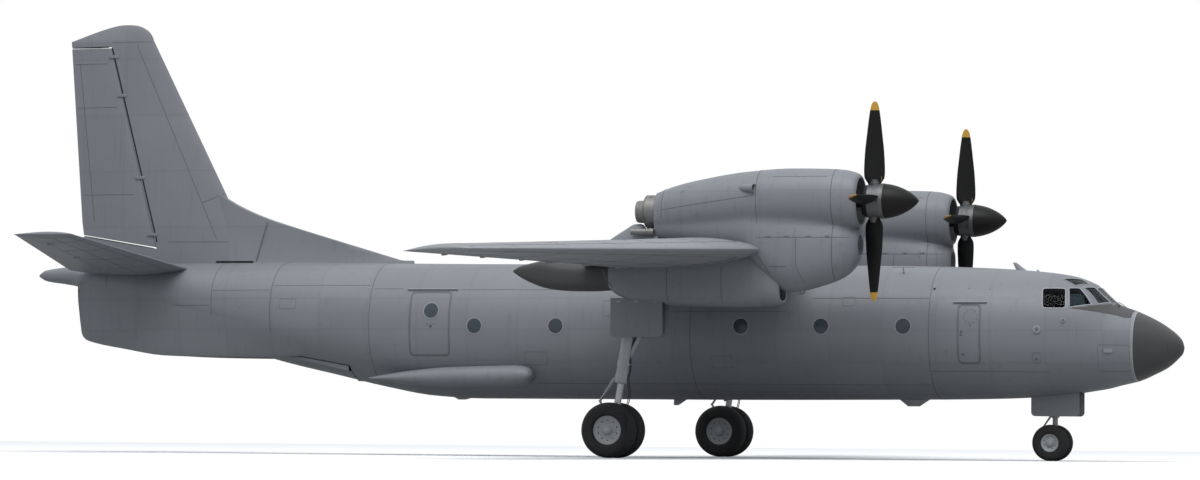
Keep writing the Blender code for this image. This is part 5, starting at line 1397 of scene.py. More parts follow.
# A thin web on the middle plane closes the end gaps of the rudder, which turns beside it
top_hinge, foot_hinge = rudder_hinge(high), rudder_hinge(low)
rear = FIN.place(high)[1] + 0.012
fin_seals.plate([(top_hinge - 0.04, high + 0.018), (top_hinge - 0.04, high + 0.05), (rear, high + 0.05),
                 (rear, high + 0.009), (top_hinge - 0.26, high + 0.011)], -0.005, 0.005)
foot = [(x, low + RUDDER_SLOPE * (foot_hinge - x) - gap) for x, gap in
        ((foot_hinge - 0.04, 0.024), (foot_hinge - 0.26, 0.020), (FIN.place(low)[1] + 0.012, 0.010))]
fin_seals.plate(foot + [(x, z - 0.06) for x, z in reversed(foot)], -0.005, 0.005)
for sign in (-1, 1):
    upper = sign > 0
    places = [(z, chord_share(z, x), upper) for z, x in zip(spread(8.36, 4.36, 9), spread(-9.76, -7.93, 9))]
    FIN.seam(tail_seams, places, 0.012, 0.003)
    for z, start, end in ((8.42, 0.02, 0.48), (4.30, 0.06, 0.46)):
        end = min(end, hinge_share(z) - 0.05)
        FIN.seam(tail_seams, [(z, s, upper) for s in spread(start, end, 8)], 0.010, 0.003)
    slant = [(blend(5.28, 5.10, t), blend(0.01, 0.17, t), upper) for t in spread(0, 1, 5)]
    FIN.seam(tail_seams, slant, 0.012, 0.003)
    # A near-black strip along the rudder's nose: painted shade of the gap there
    FIN.seam(gap_lines, [(z, hinge_share(z) - 0.036, upper) for z in spread(4.30, 8.30, 14)], 0.030, 0.003)
    # Seam of the dorsal fin, and a near-black box at the fin's foot, painted shade of its slot
    line = [(-7.06, blend(4.70, 3.90, t)) for t in spread(0, 1, 5)]
    places = [Vector((x - 0.42 * (z - 3.9) / -0.8 * 0.5, sign * blend(0.155, 0.085, (z - 3.9) / 0.85), z))
              for x, z in line]
    tail_seams.ribbon([(place, Vector((0, sign, 0))) for place in places], 0.012, 0.006)
    near, far = sorted((sign * 0.15, sign * 0.192))
    gap_lines.box((-7.92, near, 3.872), (-7.12, far, 3.905))
    # Hinge brackets of the rudder stand out on both sides
    for z in (8.12, 7.32, 5.62, 4.45):
        x = rudder_hinge(z)
        half = FIN.hinge(z, hinge_share(z))[2]
        bracket = [(x + 0.17, z - 0.035), (x + 0.17, z + 0.035), (x - 0.05, z + 0.028), (x - 0.05, z - 0.028)]
        tail_fittings.plate(bracket, sign * (half - 0.02), sign * (half + 0.022))
tail_seams.finish("tail_seams", seam_paint, "tail_skin")
gap_lines.finish("rudder_gap_lines", painted_shade_black, "tail_skin")
fin_seals.finish("rudder_end_seals", tail_paint, "tail_skin")
for upper in (True, False):
    for z in (5.28, 7.08, 7.98):
        share = hinge_share(z)
        FIN.seam(rudder_seams, [(z, s, upper) for s in spread(share + 0.05, 0.975, 8)], 0.010, 0.003)
    FIN.seam(rudder_seams, [(z, 0.915, upper) for z in spread(4.75, 7.98, 12)], 0.012, 0.003)
rudder_seams.finish("rudder_seams", seam_paint, "tail_skin", body="rudder")
tail_fittings.finish("tail_fittings", tail_paint, "tail_skin", bevel=0.004)
print("tailplane span", 2 * TAIL_HALF, "m, fin top at", FIN_CAP_ROWS[-1][0], "m")

# %% [markdown]
# The nacelles. In section each one is a figure of eight: a round barrel with the engine and its
# intake, over a chin that holds the oil cooler. `nacelle_ring` takes the wider of the two ovals at
# every level, which leaves the soft crease that runs along the side. A pod below the wing
# carries the landing gear.

# %% Engine cowlings
THRUST_LINE, JET_PIPE_LEVEL = 4.83, 4.66
# Barrel and chin rows as (x, top, bottom, half width)
BARREL = ((2.56, 5.02, 4.20, 0.34), (2.90, 5.14, 4.20, 0.42), (3.37, 5.25, 4.22, 0.50),
          (4.31, 5.40, 4.26, 0.58), (5.16, 5.455, 4.27, 0.60), (5.82, 5.445, 4.28, 0.59),
          (6.19, 5.42, 4.29, 0.565), (6.39, 5.375, 4.31, 0.53), (6.465, 5.34, 4.33, 0.505),
          (6.49, 5.31, 4.36, 0.475))
CHIN = ((2.56, 4.80, 4.13, 0.30), (2.90, 4.80, 4.09, 0.36), (3.37, 4.80, 4.00, 0.42),
        (4.31, 4.80, 3.86, 0.50),
        (4.60, 4.80, 3.47, 0.53), (5.16, 4.74, 3.13, 0.55), (5.82, 4.58, 3.27, 0.51),
        (6.19, 4.44, 3.42, 0.44),
        (6.39, 4.33, 3.60, 0.35), (6.465, 4.28, 3.71, 0.29), (6.49, 4.245, 3.77, 0.25))
BARREL_POWER, CHIN_POWER = 2.2, 2.5
CREASE_PLACE = 20
AHEAD = (1, 0, 0)
NACELLES = tuple((side, sign, sign * NACELLE_Y) for side, sign in SIDES)


def lobe_half(table, x, z, power):
    middle, rise, half = oval_row(table, x)
    level = (z - middle) / rise
    return oval_half(level, half, power) if abs(level) < 1 else 0.0


def lobe_arc(table, x, power, start, end, count):
    """Points of an oval between two levels, evenly spaced round it."""
    middle, rise, _ = oval_row(table, x)
    turns = spread(*(math.asin(max(-1.0, min(1.0, (z - middle) / rise))) for z in (start, end)), count)
    return [(lobe_half(table, x, z, power), z) for z in (middle + rise * math.sin(a) for a in turns)]


@functools.cache
def nacelle_profile(x):
    """Half the section as (half width, level): down the barrel to the crease, then round the chin."""
    low, high = along(CHIN, 2, x), along(BARREL, 1, x)
    for _ in range(24):
        middle = (low + high) / 2
        if lobe_half(BARREL, x, middle, BARREL_POWER) > lobe_half(CHIN, x, middle, CHIN_POWER):
            high = middle
        else:
            low = middle
    points = lobe_arc(BARREL, x, BARREL_POWER, along(BARREL, 1, x), low, CREASE_PLACE + 1)
    points += lobe_arc(CHIN, x, CHIN_POWER, low, along(CHIN, 2, x), 17)[1:]
    softer = [tuple(blend(blend(p, r, 0.5), q, 0.5) for p, q, r in zip(a, b, c))
              for a, b, c in zip(points, points[1:], points[2:])]
    points[CREASE_PLACE - 3:CREASE_PLACE + 4] = softer[CREASE_PLACE - 4:CREASE_PLACE + 3]
    return points


def nacelle_half(x, z):
    for (half, level), (lower_half, lower) in zip(nacelle_profile(x), nacelle_profile(x)[1:]):
        if lower <= z <= level:
            return blend(half, lower_half, (level - z) / max(level - lower, 1e-6))
    return 0.0


def nacelle_ring(x, y):
    right = nacelle_profile(x)
    return [(x, y + h, z) for h, z in right] + [(x, y - h, z) for h, z in reversed(right[1:-1])]


def nacelle_skin(x, z, y, sign, lift=0.0):
    """(point, outward direction) on the side of a nacelle."""
    step = 0.01
    point = Vector((x, y + sign * nacelle_half(x, z), z))
    ahead = Vector((x + step, y + sign * nacelle_half(x + step, z), z))
    above = Vector((x, y + sign * nacelle_half(x, z + step), z + step))
    normal = (ahead - point).cross(above - point).normalized()
    normal = normal if normal.y * sign > 0 else -normal
    return point + normal * lift, normal


def nacelle_hoop(x, y, last):
    """(point, direction) places over the top of a nacelle, down both sides to a place of its profile."""
    levels = [z for _, z in nacelle_profile(x)[1:last]]
    crown = (Vector((x, y, along(BARREL, 1, x))), Vector((0, 0, 1)))
    return ([nacelle_skin(x, z, y, -1) for z in reversed(levels)] + [crown]
            + [nacelle_skin(x, z, y, 1) for z in levels])


nacelle_seams = Shape()
for side, sign, y in NACELLES:
    thrust = (0, y, THRUST_LINE), AHEAD
    intake = Shape().turned([(6.05, 0.36), (6.25, 0.42), (6.52, 0.432)], *thrust, 48).cutter()
    cooler = Shape().loft([oval_at(x, y, 4.20, 3.82, 0.205) for x in (6.12, 6.56)]).cutter()
    wing_room = wing_cutter(y)
    jet = Shape().turned([(2.50, 0.25), (2.80, 0.25)], (0, y, JET_PIPE_LEVEL), AHEAD, 32).cutter()
    places = [2.56, 2.60] + stations(2.7, 6.13, 0.12) + [6.19, 6.27, 6.34, 6.39, 6.43, 6.46, 6.48, 6.49]
    Shape().loft([nacelle_ring(x, y) for x in places]).finish(
        f"cowling_skin_{side}", nacelle_paint, "nacelle_skin", [f"engine_cowling_{side}"],
        cutters=[intake, cooler, wing_room, jet], angle=40)

    # Rounded lips round the main intake and the chin intake, and the dark duct behind each
    lips, ducts = Shape(), Shape()
    lips.tube(oval_at(6.478, y, 5.288, 4.372, 0.452, count=56), 0.024, 12, closed=True)
    lips.tube(oval_at(6.474, y, 4.222, 3.796, 0.228, count=40), 0.022, 12, closed=True)
    lips.finish(f"intake_lips_{side}", nacelle_paint, "nacelle_skin")
    ducts.turned([(6.06, 0.35), (6.08, 0.355)], *thrust, 40)
    for a in around(24):
        vane = Vector((0, math.cos(a), math.sin(a)))
        ducts.tube([Vector((6.12, y, THRUST_LINE)) + vane * reach for reach in (0.14, 0.345)], 0.012, 6)
    for k in range(-4, 5):
        ducts.box((6.18, y - 0.16, 4.00 + k * 0.035), (6.20, y + 0.16, 4.01 + k * 0.035))
    ducts.finish(f"intake_ducts_{side}", dark_metal, "nacelle_skin")

    # Sheet joints: three hoops over the top, the long joint above the chin, and those below it
    for x, last in ((6.05, 35), (4.61, 22), (2.72, 18)):
        nacelle_seams.ribbon(nacelle_hoop(x, y, last), 0.014, 0.0025)
    for out in (-1, 1):
        # Straight joints as (first x, last x, first level, last level, number of places)
        for x0, x1, z0, z1, count in ((4.61, 6.36, 4.14, 4.14, 16), (2.74, 4.59, 4.68, 4.93, 14),
                                      (4.9, 5.95, 5.28, 5.28, 8), (5.38, 5.38, 4.12, 3.58, 9),
                                      (5.38, 5.53, 3.58, 3.24, 6), (4.56, 4.84, 3.93, 3.48, 8),
                                      (4.86, 5.20, 3.60, 3.60, 5)):
            row = zip(spread(x0, x1, count), spread(z0, z1, count))
            nacelle_seams.ribbon([nacelle_skin(x, z, y, out) for x, z in row], 0.011, 0.0025)
nacelle_seams.finish("nacelle_seams", seam_paint, "nacelle_skin")
print("cowlings ready")

# %% [markdown]
# The exhaust is a nozzle inside a wider shroud, both of heat-browned steel, with a ring of bolts on
# the cowling just ahead of it. A fairing on the wing leads the hot gas clear, and a small drain
# tube and an air scoop stand on the side.

# %% Exhausts, scoops and small nacelle fittings
def bolt_ring(shape, centre, axis, radius, count, size=0.010, rise=0.008):
    turn = Vector(axis).to_track_quat("Z", "Y").to_matrix()
    for a in around(count):
        place = Vector(centre) + turn @ Vector((math.cos(a), math.sin(a), 0)) * radius
        shape.turned([(-0.004, size), (rise * 0.7, size), (rise, size * 0.7)], place, axis, 8)


def collar(start, end, inner, outer):
    """The profile of a ring between two places on an axis."""
    return [(start, inner), (start, outer), (end, outer), (end, inner)]


nacelle_details, scoop_mouths = Shape(), Shape()
for side, sign, y in NACELLES:
    jet_line = (0, y, JET_PIPE_LEVEL), AHEAD
    pipe = Shape()
    nozzle = [(2.15, 0.190), (2.16, 0.183), (2.44, 0.183), (2.45, 0.05), (2.79, 0.05), (2.79, 0.247),
              (2.562, 0.247), (2.561, 0.306), (2.55, 0.313), (2.345, 0.313), (2.333, 0.304), (2.333, 0.235),
              (2.30, 0.222), (2.27, 0.215), (2.16, 0.205), (2.15, 0.198)]
    pipe.turned(nozzle, *jet_line, 48, ring=True)
    for s, r in ((2.355, 0.3145), (2.45, 0.3145), (2.535, 0.3145), (2.20, 0.211)):
        pipe.turned(collar(s - 0.006, s + 0.006, r - 0.01, r + 0.002), *jet_line, 48, ring=True)
    bolt_ring(pipe, (2.334, y, JET_PIPE_LEVEL), (-1, 0, 0), 0.27, 24, 0.009)
    pipe.finish(f"exhaust_pipe_{side}", steel, "exhaust_metal", [f"exhaust_{side}"])

    # Bolts on the cowling round its rear end
    for out in (-1, 1):
        for z in spread(4.36, 4.98, 11):
            stud(nacelle_details, nacelle_skin(2.66, z, y, out), 0.010, 0.006, 0.6, 8)
    # Air scoop on the outer side: a short tube that points ahead and outward
    scoop = Vector((4.24, y + sign * 0.47, 5.06)), Vector((0.94, sign * 0.34, 0))
    mouth = [(0.0, 0.02), (0.06, 0.055), (0.14, 0.078), (0.36, 0.088), (0.372, 0.082), (0.368, 0.070),
             (0.22, 0.064), (0.21, 0.01)]
    nacelle_details.turned(mouth, *scoop, 28)
    # A near-black disc inside the scoop's mouth: painted shade of its dark inside
    scoop_mouths.turned([(0.30, 0.0655), (0.31, 0.0655)], *scoop, 24)
    # Small inlets, drains and hinge strips on the cowling sides
    for out in (-1, 1):
        for x, z, size in ((5.65, 4.62, 0.016), (5.05, 4.70, 0.014), (4.75, 4.05, 0.018), (5.90, 4.10, 0.016),
                           (5.60, 3.80, 0.014), (3.40, 4.60, 0.016), (3.95, 4.72, 0.014)):
            stud(nacelle_details, nacelle_skin(x, z, y, out), size, 0.006, 0.7, 12)
        for x in (4.85, 5.20, 5.60, 5.95):
            beside = nacelle_skin(x, 4.17, y, out)[0].y
            nacelle_details.box((x - 0.05, beside - 0.010, 4.155), (x + 0.05, beside + 0.010, 4.18))
        drain = [(x, y + out * 0.10, z) for x, z in ((5.40, 3.20), (5.38, 3.12), (5.32, 3.09))]
        nacelle_details.tube(drain, 0.012, 10)
nacelle_details.finish("nacelle_details", nacelle_paint, "nacelle_skin", bevel=0.002)
scoop_mouths.finish("scoop_mouths", painted_shade_black, "nacelle_skin")

# The fairing on the wing behind each exhaust, and its drain pipe
FAIRING = ((1.60, 4.13, 0.05), (1.69, 4.19, 0.10), (1.90, 4.32, 0.16), (2.12, 4.43, 0.20), (2.24, 4.43, 0.22),
           (2.34, 4.335, 0.24), (2.62, 4.33, 0.26))
FAIRING_ENDS, DRAIN_OFFSET = (1.60, 2.62), 0.27
for side, sign, y in NACELLES:
    rings = []
    for x in spread(*FAIRING_ENDS, 24):
        top, half = along(FAIRING, 1, x), along(FAIRING, 2, x)
        base = centre_panel.surface(1.0, (WING_ROOT[0] - x) / (WING_ROOT[0] - WING_ROOT[1]), True)[1] - 0.03
        top = max(top, base + 0.02)
        turns = spread(0, math.pi, 17)
        rings.append([(x, y + half * math.cos(a), base + (top - base) * math.sin(a)) for a in turns])
    Shape().loft(rings).finish(f"exhaust_fairing_{side}", nacelle_paint, "nacelle_skin")
    drain = Shape()
    drain.turned([(2.10, 0.055), (2.105, 0.062), (2.55, 0.062), (2.55, 0.045), (2.12, 0.045)],
                 (0, sign * (NACELLE_Y + DRAIN_OFFSET), 4.27), AHEAD, 24, ring=True)
    drain.finish(f"drain_pipe_{side}", steel, "exhaust_metal")
print("exhausts and scoops ready")

# %% [markdown]
# The landing gear pods: a blunt nose with an inlet under the wing's leading edge, a flat-sided
# middle, and a long tail that fades into the wing.

# %% Landing gear pods
GEAR_POD = ((-0.31, 3.56, 3.52, 0.03), (-0.155, 3.64, 3.42, 0.12), (0.05, 3.69, 3.32, 0.19),
            (0.355, 3.74, 3.215, 0.26), (0.66, 3.70, 3.17, 0.30), (1.07, 3.68, 3.155, 0.32),
            (1.34, 3.70, 3.155, 0.33), (1.60, 3.72, 3.17, 0.35), (1.69, 3.72, 3.17, 0.37),
            (1.75, 3.72, 3.10, 0.38), (1.97, 3.75, 2.985, 0.38), (2.20, 3.78, 2.925, 0.38),
            (3.43, 3.86, 2.865, 0.38), (4.10, 3.92, 2.855, 0.38), (4.70, 3.95, 2.875, 0.38),
            (4.93, 3.90, 2.90, 0.36), (5.00, 3.80, 2.94, 0.33))


# The pod's tail, up to the end given here, wears near-black paint: painted shade for the wing's shadow
POD_POWER, POD_SHADE_END = 3.2, 1.62


def pod_skin(x, z, y, sign):
    middle, rise, half = oval_row(GEAR_POD, x)
    across = oval_half(min(abs(z - middle) / rise, 0.99), half, POD_POWER)
    return Vector((x, y + sign * across, z)), Vector((0, sign, 0))


pod_seams = Shape()
for side, sign, y in NACELLES:
    wing_room = wing_cutter(y)
    bay = Shape().box((1.66, y - 0.26, 2.60), (2.76, y + 0.26, 3.40)).cutter()
    inlet = Shape().loft([oval_at(x, y, 3.42, 2.97, 0.26, 3.0, 40) for x in (4.55, 5.10)]).cutter()
    places = [-0.31, -0.29, -0.26, -0.22, *stations(-0.18, 4.70, 0.09),
              4.80, 4.86, 4.90, 4.93, 4.955, 4.975, 4.99, 5.00]
    rings = [oval_at(x, y, *(along(GEAR_POD, c, x) for c in (1, 2, 3)), POD_POWER) for x in places]
    Shape().loft(rings, paints=[int(x < POD_SHADE_END) for x in places]).finish(
        f"gear_pod_skin_{side}", [nacelle_paint, pod_tail_shade_paint], "nacelle_skin",
        [f"gear_pod_{side}"], cutters=[wing_room, bay, inlet], angle=40)
    rim = Shape()
    rim.tube(oval_at(4.985, y, 3.43, 2.96, 0.27, 3.0, 48), 0.018, 10, closed=True)
    rim.finish(f"pod_inlet_rim_{side}", frame_paint, "nacelle_skin")
    grille = Shape()
    for k in range(-3, 4):
        grille.box((4.58, y - 0.245, 3.195 + k * 0.055), (4.60, y + 0.245, 3.207 + k * 0.055))
    grille.box((4.552, y - 0.25, 2.99), (4.556, y + 0.25, 3.40))
    grille.finish(f"pod_inlet_grille_{side}", dark_metal, "nacelle_skin")
    for out in (-1, 1):
        for x in (2.84, 3.90):
            top, bottom = along(GEAR_POD, 1, x), along(GEAR_POD, 2, x)
            places = [pod_skin(x, z, y, out) for z in spread(min(top - 0.04, 3.62), bottom + 0.03, 12)]
            pod_seams.ribbon(places, 0.012, 0.0025)
        fold = [(1.56, 3.56), (1.60, 3.46), (1.66, 3.36), (1.76, 3.24), (1.86, 3.10), (2.00, 3.02)]
        pod_seams.ribbon([pod_skin(x, z, y, out) for x, z in fold], 0.016, 0.0030)
pod_seams.finish("pod_seams", seam_paint, "nacelle_skin")
print("gear pods ready")

# %% [markdown]
# Propellers: four broad blades, twisted from root to tip, near black with mustard tips. The tip
# colour is the outer end of the same blade, in its own material slot. Each blade leaves the hub
# through a round cuff with a clamp ring, and a braided wire runs to its leading edge for de-icing.

# %% Propellers and spinners
PROP_PLANE, SPINNER_BASE, SPINNER_TIP, SPINNER_RADIUS = 6.75, 6.88, 7.60, 0.33
# Blade rows as (radius, chord, thickness, blade angle in degrees)
BLADE = ((0.20, 0.200, 0.120, 72), (0.34, 0.250, 0.110, 71), (0.39, 0.330, 0.096, 70),
         (0.45, 0.382, 0.088, 70), (0.56, 0.395, 0.075, 69), (0.90, 0.365, 0.055, 68),
         (1.24, 0.295, 0.040, 67), (1.58, 0.215, 0.028, 66), (1.76, 0.155, 0.020, 66),
         (1.82, 0.115, 0.016, 66), (1.853, 0.070, 0.012, 66), (1.865, 0.030, 0.008, 66))
TIP_BAND = 1.70


def blade_ring(y, turn, radius, count=28):
    chord, thick, pitch = (along(BLADE, column, radius) for column in (1, 2, 3))
    lean = math.radians(pitch)
    ring = []
    for a in around(count):
        taper = 1.0 + 0.35 * math.cos(a) * min(1.0, max(0.0, (radius - 0.4) / 0.4))
        u, v = chord / 2 * math.cos(a), thick / 2 * math.sin(a) * taper
        c, s = math.cos(lean), math.sin(lean)
        local = Vector((u * s - v * c, u * c + v * s, radius))
        ring.append(Vector((PROP_PLANE, y, THRUST_LINE)) + turn @ local)
    return ring


for side, sign, y in NACELLES:
    spinning = f"propeller_{side}"
    hub, thrust = (PROP_PLANE, y, THRUST_LINE), ((0, y, THRUST_LINE), AHEAD)
    blades, cuffs = Shape(), Shape()
    for k in range(4):
        turn = Matrix.Rotation(k * math.pi / 2, 3, "X")
        tip_rows = (TIP_BAND, 1.74, 1.78, 1.81, 1.83, 1.845, 1.856, 1.862, 1.865)
        for paint, radii in enumerate((spread(0.20, TIP_BAND, 34), tip_rows)):
            blades.paint = paint
            blades.loft([blade_ring(y, turn, r) for r in radii])
        out = turn @ Vector((0, 0, 1))
        cuff = [(0.24, 0.095), (0.30, 0.098), (0.335, 0.098), (0.345, 0.088), (0.36, 0.088), (0.365, 0.074),
                (0.40, 0.072)]
        cuffs.turned(cuff, hub, out, 32)
        wire = [Vector(hub) + turn @ Vector((0.10 + 0.03 * math.sin(t * 3.1), 0.015, blend(0.33, 0.52, t)))
                for t in spread(0, 1, 9)]
        cuffs.paint = 1
        cuffs.tube(wire, 0.006, 8)
        spot = Vector(hub) + turn @ Vector((0.085, 0.0, 0.348))
        cuffs.turned([(0, 0.014), (0.008, 0.014), (0.010, 0.010)], spot, turn @ Vector((1, 0, 0.2)), 12)
        cuffs.paint = 0
    # The hub's back plate wears the near-black spinner paint, painted shade for the shadow at the
    # spinner's base, and a bare metal ring stands in front of it
    blades.paint = 3
    back_plate_painted_shade = [(6.42, 0.10), (6.42, 0.12), (6.545, 0.12), (6.55, 0.28), (6.57, 0.292), (6.60, 0.302),
                  (6.66, 0.306)]
    blades.turned(back_plate_painted_shade, *thrust, 48)
    blades.paint = 2
    blades.turned([(6.655, 0.300), (6.66, 0.310), (6.74, 0.312), (6.875, 0.318)], *thrust, 48)
    blades.finish(f"propeller_blades_{side}", [blade_paint, tip_paint, hub_metal, spinner_paint],
                  "propeller_blade", [spinning], spinning, angle=40)
    cuffs.finish(f"blade_cuffs_{side}", [hub_metal, brass_metal], "propeller_blade", body=spinning)
    cone = []
    for t in (0.0, 0.03, 0.1, 0.2, 0.32, 0.45, 0.58, 0.7, 0.8, 0.88, 0.94, 0.97, 0.99, 1.0):
        cone.append((blend(SPINNER_BASE, SPINNER_TIP, t), max(SPINNER_RADIUS * (1 - t**1.9) ** 0.75, 0.010)))
    spinner = Shape().turned(cone, *thrust, 56)
    spinner.finish(f"spinner_shell_{side}", spinner_paint, "spinner", [f"spinner_{side}"], spinning)
    trim = Shape()
    trim.turned([(6.878, 0.322), (6.878, 0.3325), (6.958, 0.3285), (6.958, 0.318)], *thrust, 56, ring=True)
    bolt_ring(trim, (6.94, y, THRUST_LINE), AHEAD, 0.3285, 16, 0.008, 0.006)
    trim.finish(f"spinner_band_{side}", hub_metal, "spinner", body=spinning)
    # The engine's casing inside the cowling, with the sleeve round the propeller shaft
    core = Shape()
    casing = [(3.60, 0.30), (3.62, 0.35), (5.60, 0.35), (5.70, 0.30), (6.22, 0.28), (6.30, 0.22),
              (6.36, 0.20), (6.37, 0.15), (6.37, 0.1225), (6.10, 0.1225), (6.10, 0.02)]
    core.turned(casing, *thrust, 40)
    bolt_ring(core, (6.365, y, THRUST_LINE), AHEAD, 0.175, 12, 0.010, 0.010)
    core.finish(f"engine_core_{side}", dark_metal, "engine", [f"engine_{side}"])
print("two propellers of four blades, radius", BLADE[-1][0], "m")

# %% [markdown]
# Landing gear. Each main leg is an oleo: a thick cylinder, a gland nut, and a bright piston that
# slides in it, with torque links behind that keep the wheels straight. The tyres are turned from
# a rounded profile with grooves, and the rims have a dished web with bolts, and near-black discs
# that are painted shade for its holes.

# %% Wheels and tyres
TYRE_POWER = 2.7
MAIN_WHEEL = dict(radius=0.525, half=0.195, offset=0.285, rim=0.27, grooves=(-0.085, 0.0, 0.085),
                  axle=0.045, holes=10)
NOSE_WHEEL = dict(radius=0.35, half=0.125, offset=0.215, rim=0.17, grooves=(-0.045, 0.045),
                  axle=0.032, holes=8)


def tyre_profile(radius, half, rim, grooves):
    """A closed half-round profile as (distance from the middle, radius), from bead to bead."""
    rise = (radius - rim) * 0.55
    middle = radius - rise

    def crown(s):
        return middle + oval_half(s / half, rise, TYRE_POWER)

    profile = [(s, crown(s)) for s in (-half * math.cos(a) for a in spread(0, math.pi, 41))
               if all(abs(s - groove) >= 0.009 for groove in grooves)]
    for groove in grooves:
        top = crown(groove)
        profile += [(groove - 0.006, top), (groove - 0.004, top - 0.008), (groove + 0.004, top - 0.008),
                    (groove + 0.006, top)]
    profile.sort()
    wall = [(half * (1 - 0.48 * a**2), middle - rise * (1 - (1 - a) ** 2) ** 0.5 * 0.80)
            for a in spread(0.12, 0.95, 6)]
    wall.append((half * 0.52, rim + 0.004))
    return profile + wall + [(-s, r) for s, r in reversed(wall)]


def build_wheel_set(name, body, centre, radius, half, offset, rim, grooves, axle, holes):
    wheels = Shape()
    for tag, way in (("right", -1), ("left", 1)):
        tyre = Shape()
        place = Vector(centre) + Vector((0, way * offset, 0))
        tyre.turned(tyre_profile(radius, half, rim, grooves), place, (0, 1, 0), 72, ring=True)
        for a in around(48):
            spoke = Vector((math.cos(a), 0, math.sin(a)))
            for face in (-1, 1):
                foot = place + spoke * (rim + (radius - rim) * 0.62) + Vector((0, face * (half - 0.003), 0))
                tyre.tube([foot - spoke * 0.012, foot + spoke * 0.012], 0.004, 6)
        tyre.finish(f"{name}_rubber_{tag}", rubber, "tyre", [f"{name}_tyre_{tag}"], body, angle=35)
        lip, width = rim + 0.012, half * 0.62
        dish = [(width, lip), (width - 0.004, lip + 0.002), (width - 0.012, lip), (width - 0.014, rim),
                (-width + 0.014, rim), (-width + 0.012, lip), (-width + 0.004, lip + 0.002), (-width, lip),
                (-width, rim - 0.012), (-width + 0.03, rim - 0.03), (-width + 0.035, axle + 0.03),
                (-width, axle + 0.025), (-width, axle - 0.004), (width + 0.012, axle - 0.004),
                (width + 0.012, axle + 0.020), (width - 0.002, axle + 0.035), (width - 0.030, axle + 0.055),
                (width - 0.034, rim * 0.62), (width - 0.012, rim * 0.86), (width - 0.002, rim * 0.95)]
        wheels.turned([(way * s, r) for s, r in dish], place, (0, 1, 0), 56, ring=True)
        outer = (0, way, 0)
        bolt_ring(wheels, place + Vector((0, way * (width - 0.036), 0)), outer, rim * 0.52, 10, 0.009, 0.012)
        # Near-black discs on the web stand where its holes are: painted shade, not openings
        wheels.paint = 1
        for a in around(holes, 0.5):
            hole = place + Vector((math.cos(a) * rim * 0.74, way * (width - 0.0245),
                                   math.sin(a) * rim * 0.74))
            wheels.turned([(-0.012, rim * 0.075), (0.001, rim * 0.075)], hole, outer, 14)
        wheels.paint = 0
        cap = [(width + 0.010, axle + 0.008), (width + 0.022, axle), (width + 0.026, axle * 0.6)]
        wheels.turned(cap, place, outer, 24)
    reach = offset - half * 0.62 + 0.02
    wheels.turned([(-reach, axle), (reach, axle)], centre, (0, 1, 0), 24)
    wheels.finish(f"{name}_rims", [gear_paint, painted_shade_black], "wheel", [f"{name}_wheels"], body)


for side, sign, y in NACELLES:
    build_wheel_set(f"main_{side}", f"main_wheels_{side}", (1.70, y, 0.525), **MAIN_WHEEL)
build_wheel_set("nose", "nose_wheels", (9.35, 0.0, 0.35), **NOSE_WHEEL)
print("six tyres")

# %% [markdown]
# The legs, their braces, torque links, hoses and doors.

# %% Legs and doors
def bar(shape, middle, half, radius, segments):
    """A round bar that lies across the aeroplane."""
    middle, reach = Vector(middle), Vector((0, half, 0))
    shape.tube([middle - reach, middle + reach], radius, segments)


def torque_link(shape, top, bottom, back, half, thick=0.016):
    """Two V-shaped arms that meet at a knee behind the piston."""
    top, bottom = Vector(top), Vector(bottom)
    knee = (top + bottom) / 2 + Vector((back, 0, 0))
    for end in (top, bottom):
        for way in (-1, 1):
            shape.tube([end + Vector((0, way * half, 0)), knee + Vector((0, way * half * 0.35, 0))],
                       [thick * 1.3, thick], 12)
        bar(shape, end, half + 0.015, thick * 1.4, 14)
    bar(shape, knee, half * 0.35 + 0.02, thick * 1.3, 14)


def door_leaf(shape, x0, x1, z0, z1, y, inside, radius, ribs):
    """A thin door with rounded lower corners, and stiffening ribs on its inner face."""
    outline = [(x0, z1), *arc((x0 + radius, z0 + radius), radius, 180, 270, 8),
               *arc((x1 - radius, z0 + radius), radius, 270, 360, 8), (x1, z1)]
    shape.plate(outline, y - 0.011, y + 0.011)
    for k in range(ribs):
        x = blend(x0 + 0.08, x1 - 0.08, k / (ribs - 1))
        low, high = sorted((y + inside * 0.010, y + inside * 0.030))
        shape.box((x - 0.012, low, z0 + 0.07), (x + 0.012, high, z1 - 0.05))
    for z in (z0 + 0.09, z1 - 0.06):
        low, high = sorted((y + inside * 0.010, y + inside * 0.026))
        shape.box((x0 + 0.06, low, z - 0.012), (x1 - 0.06, high, z + 0.012))


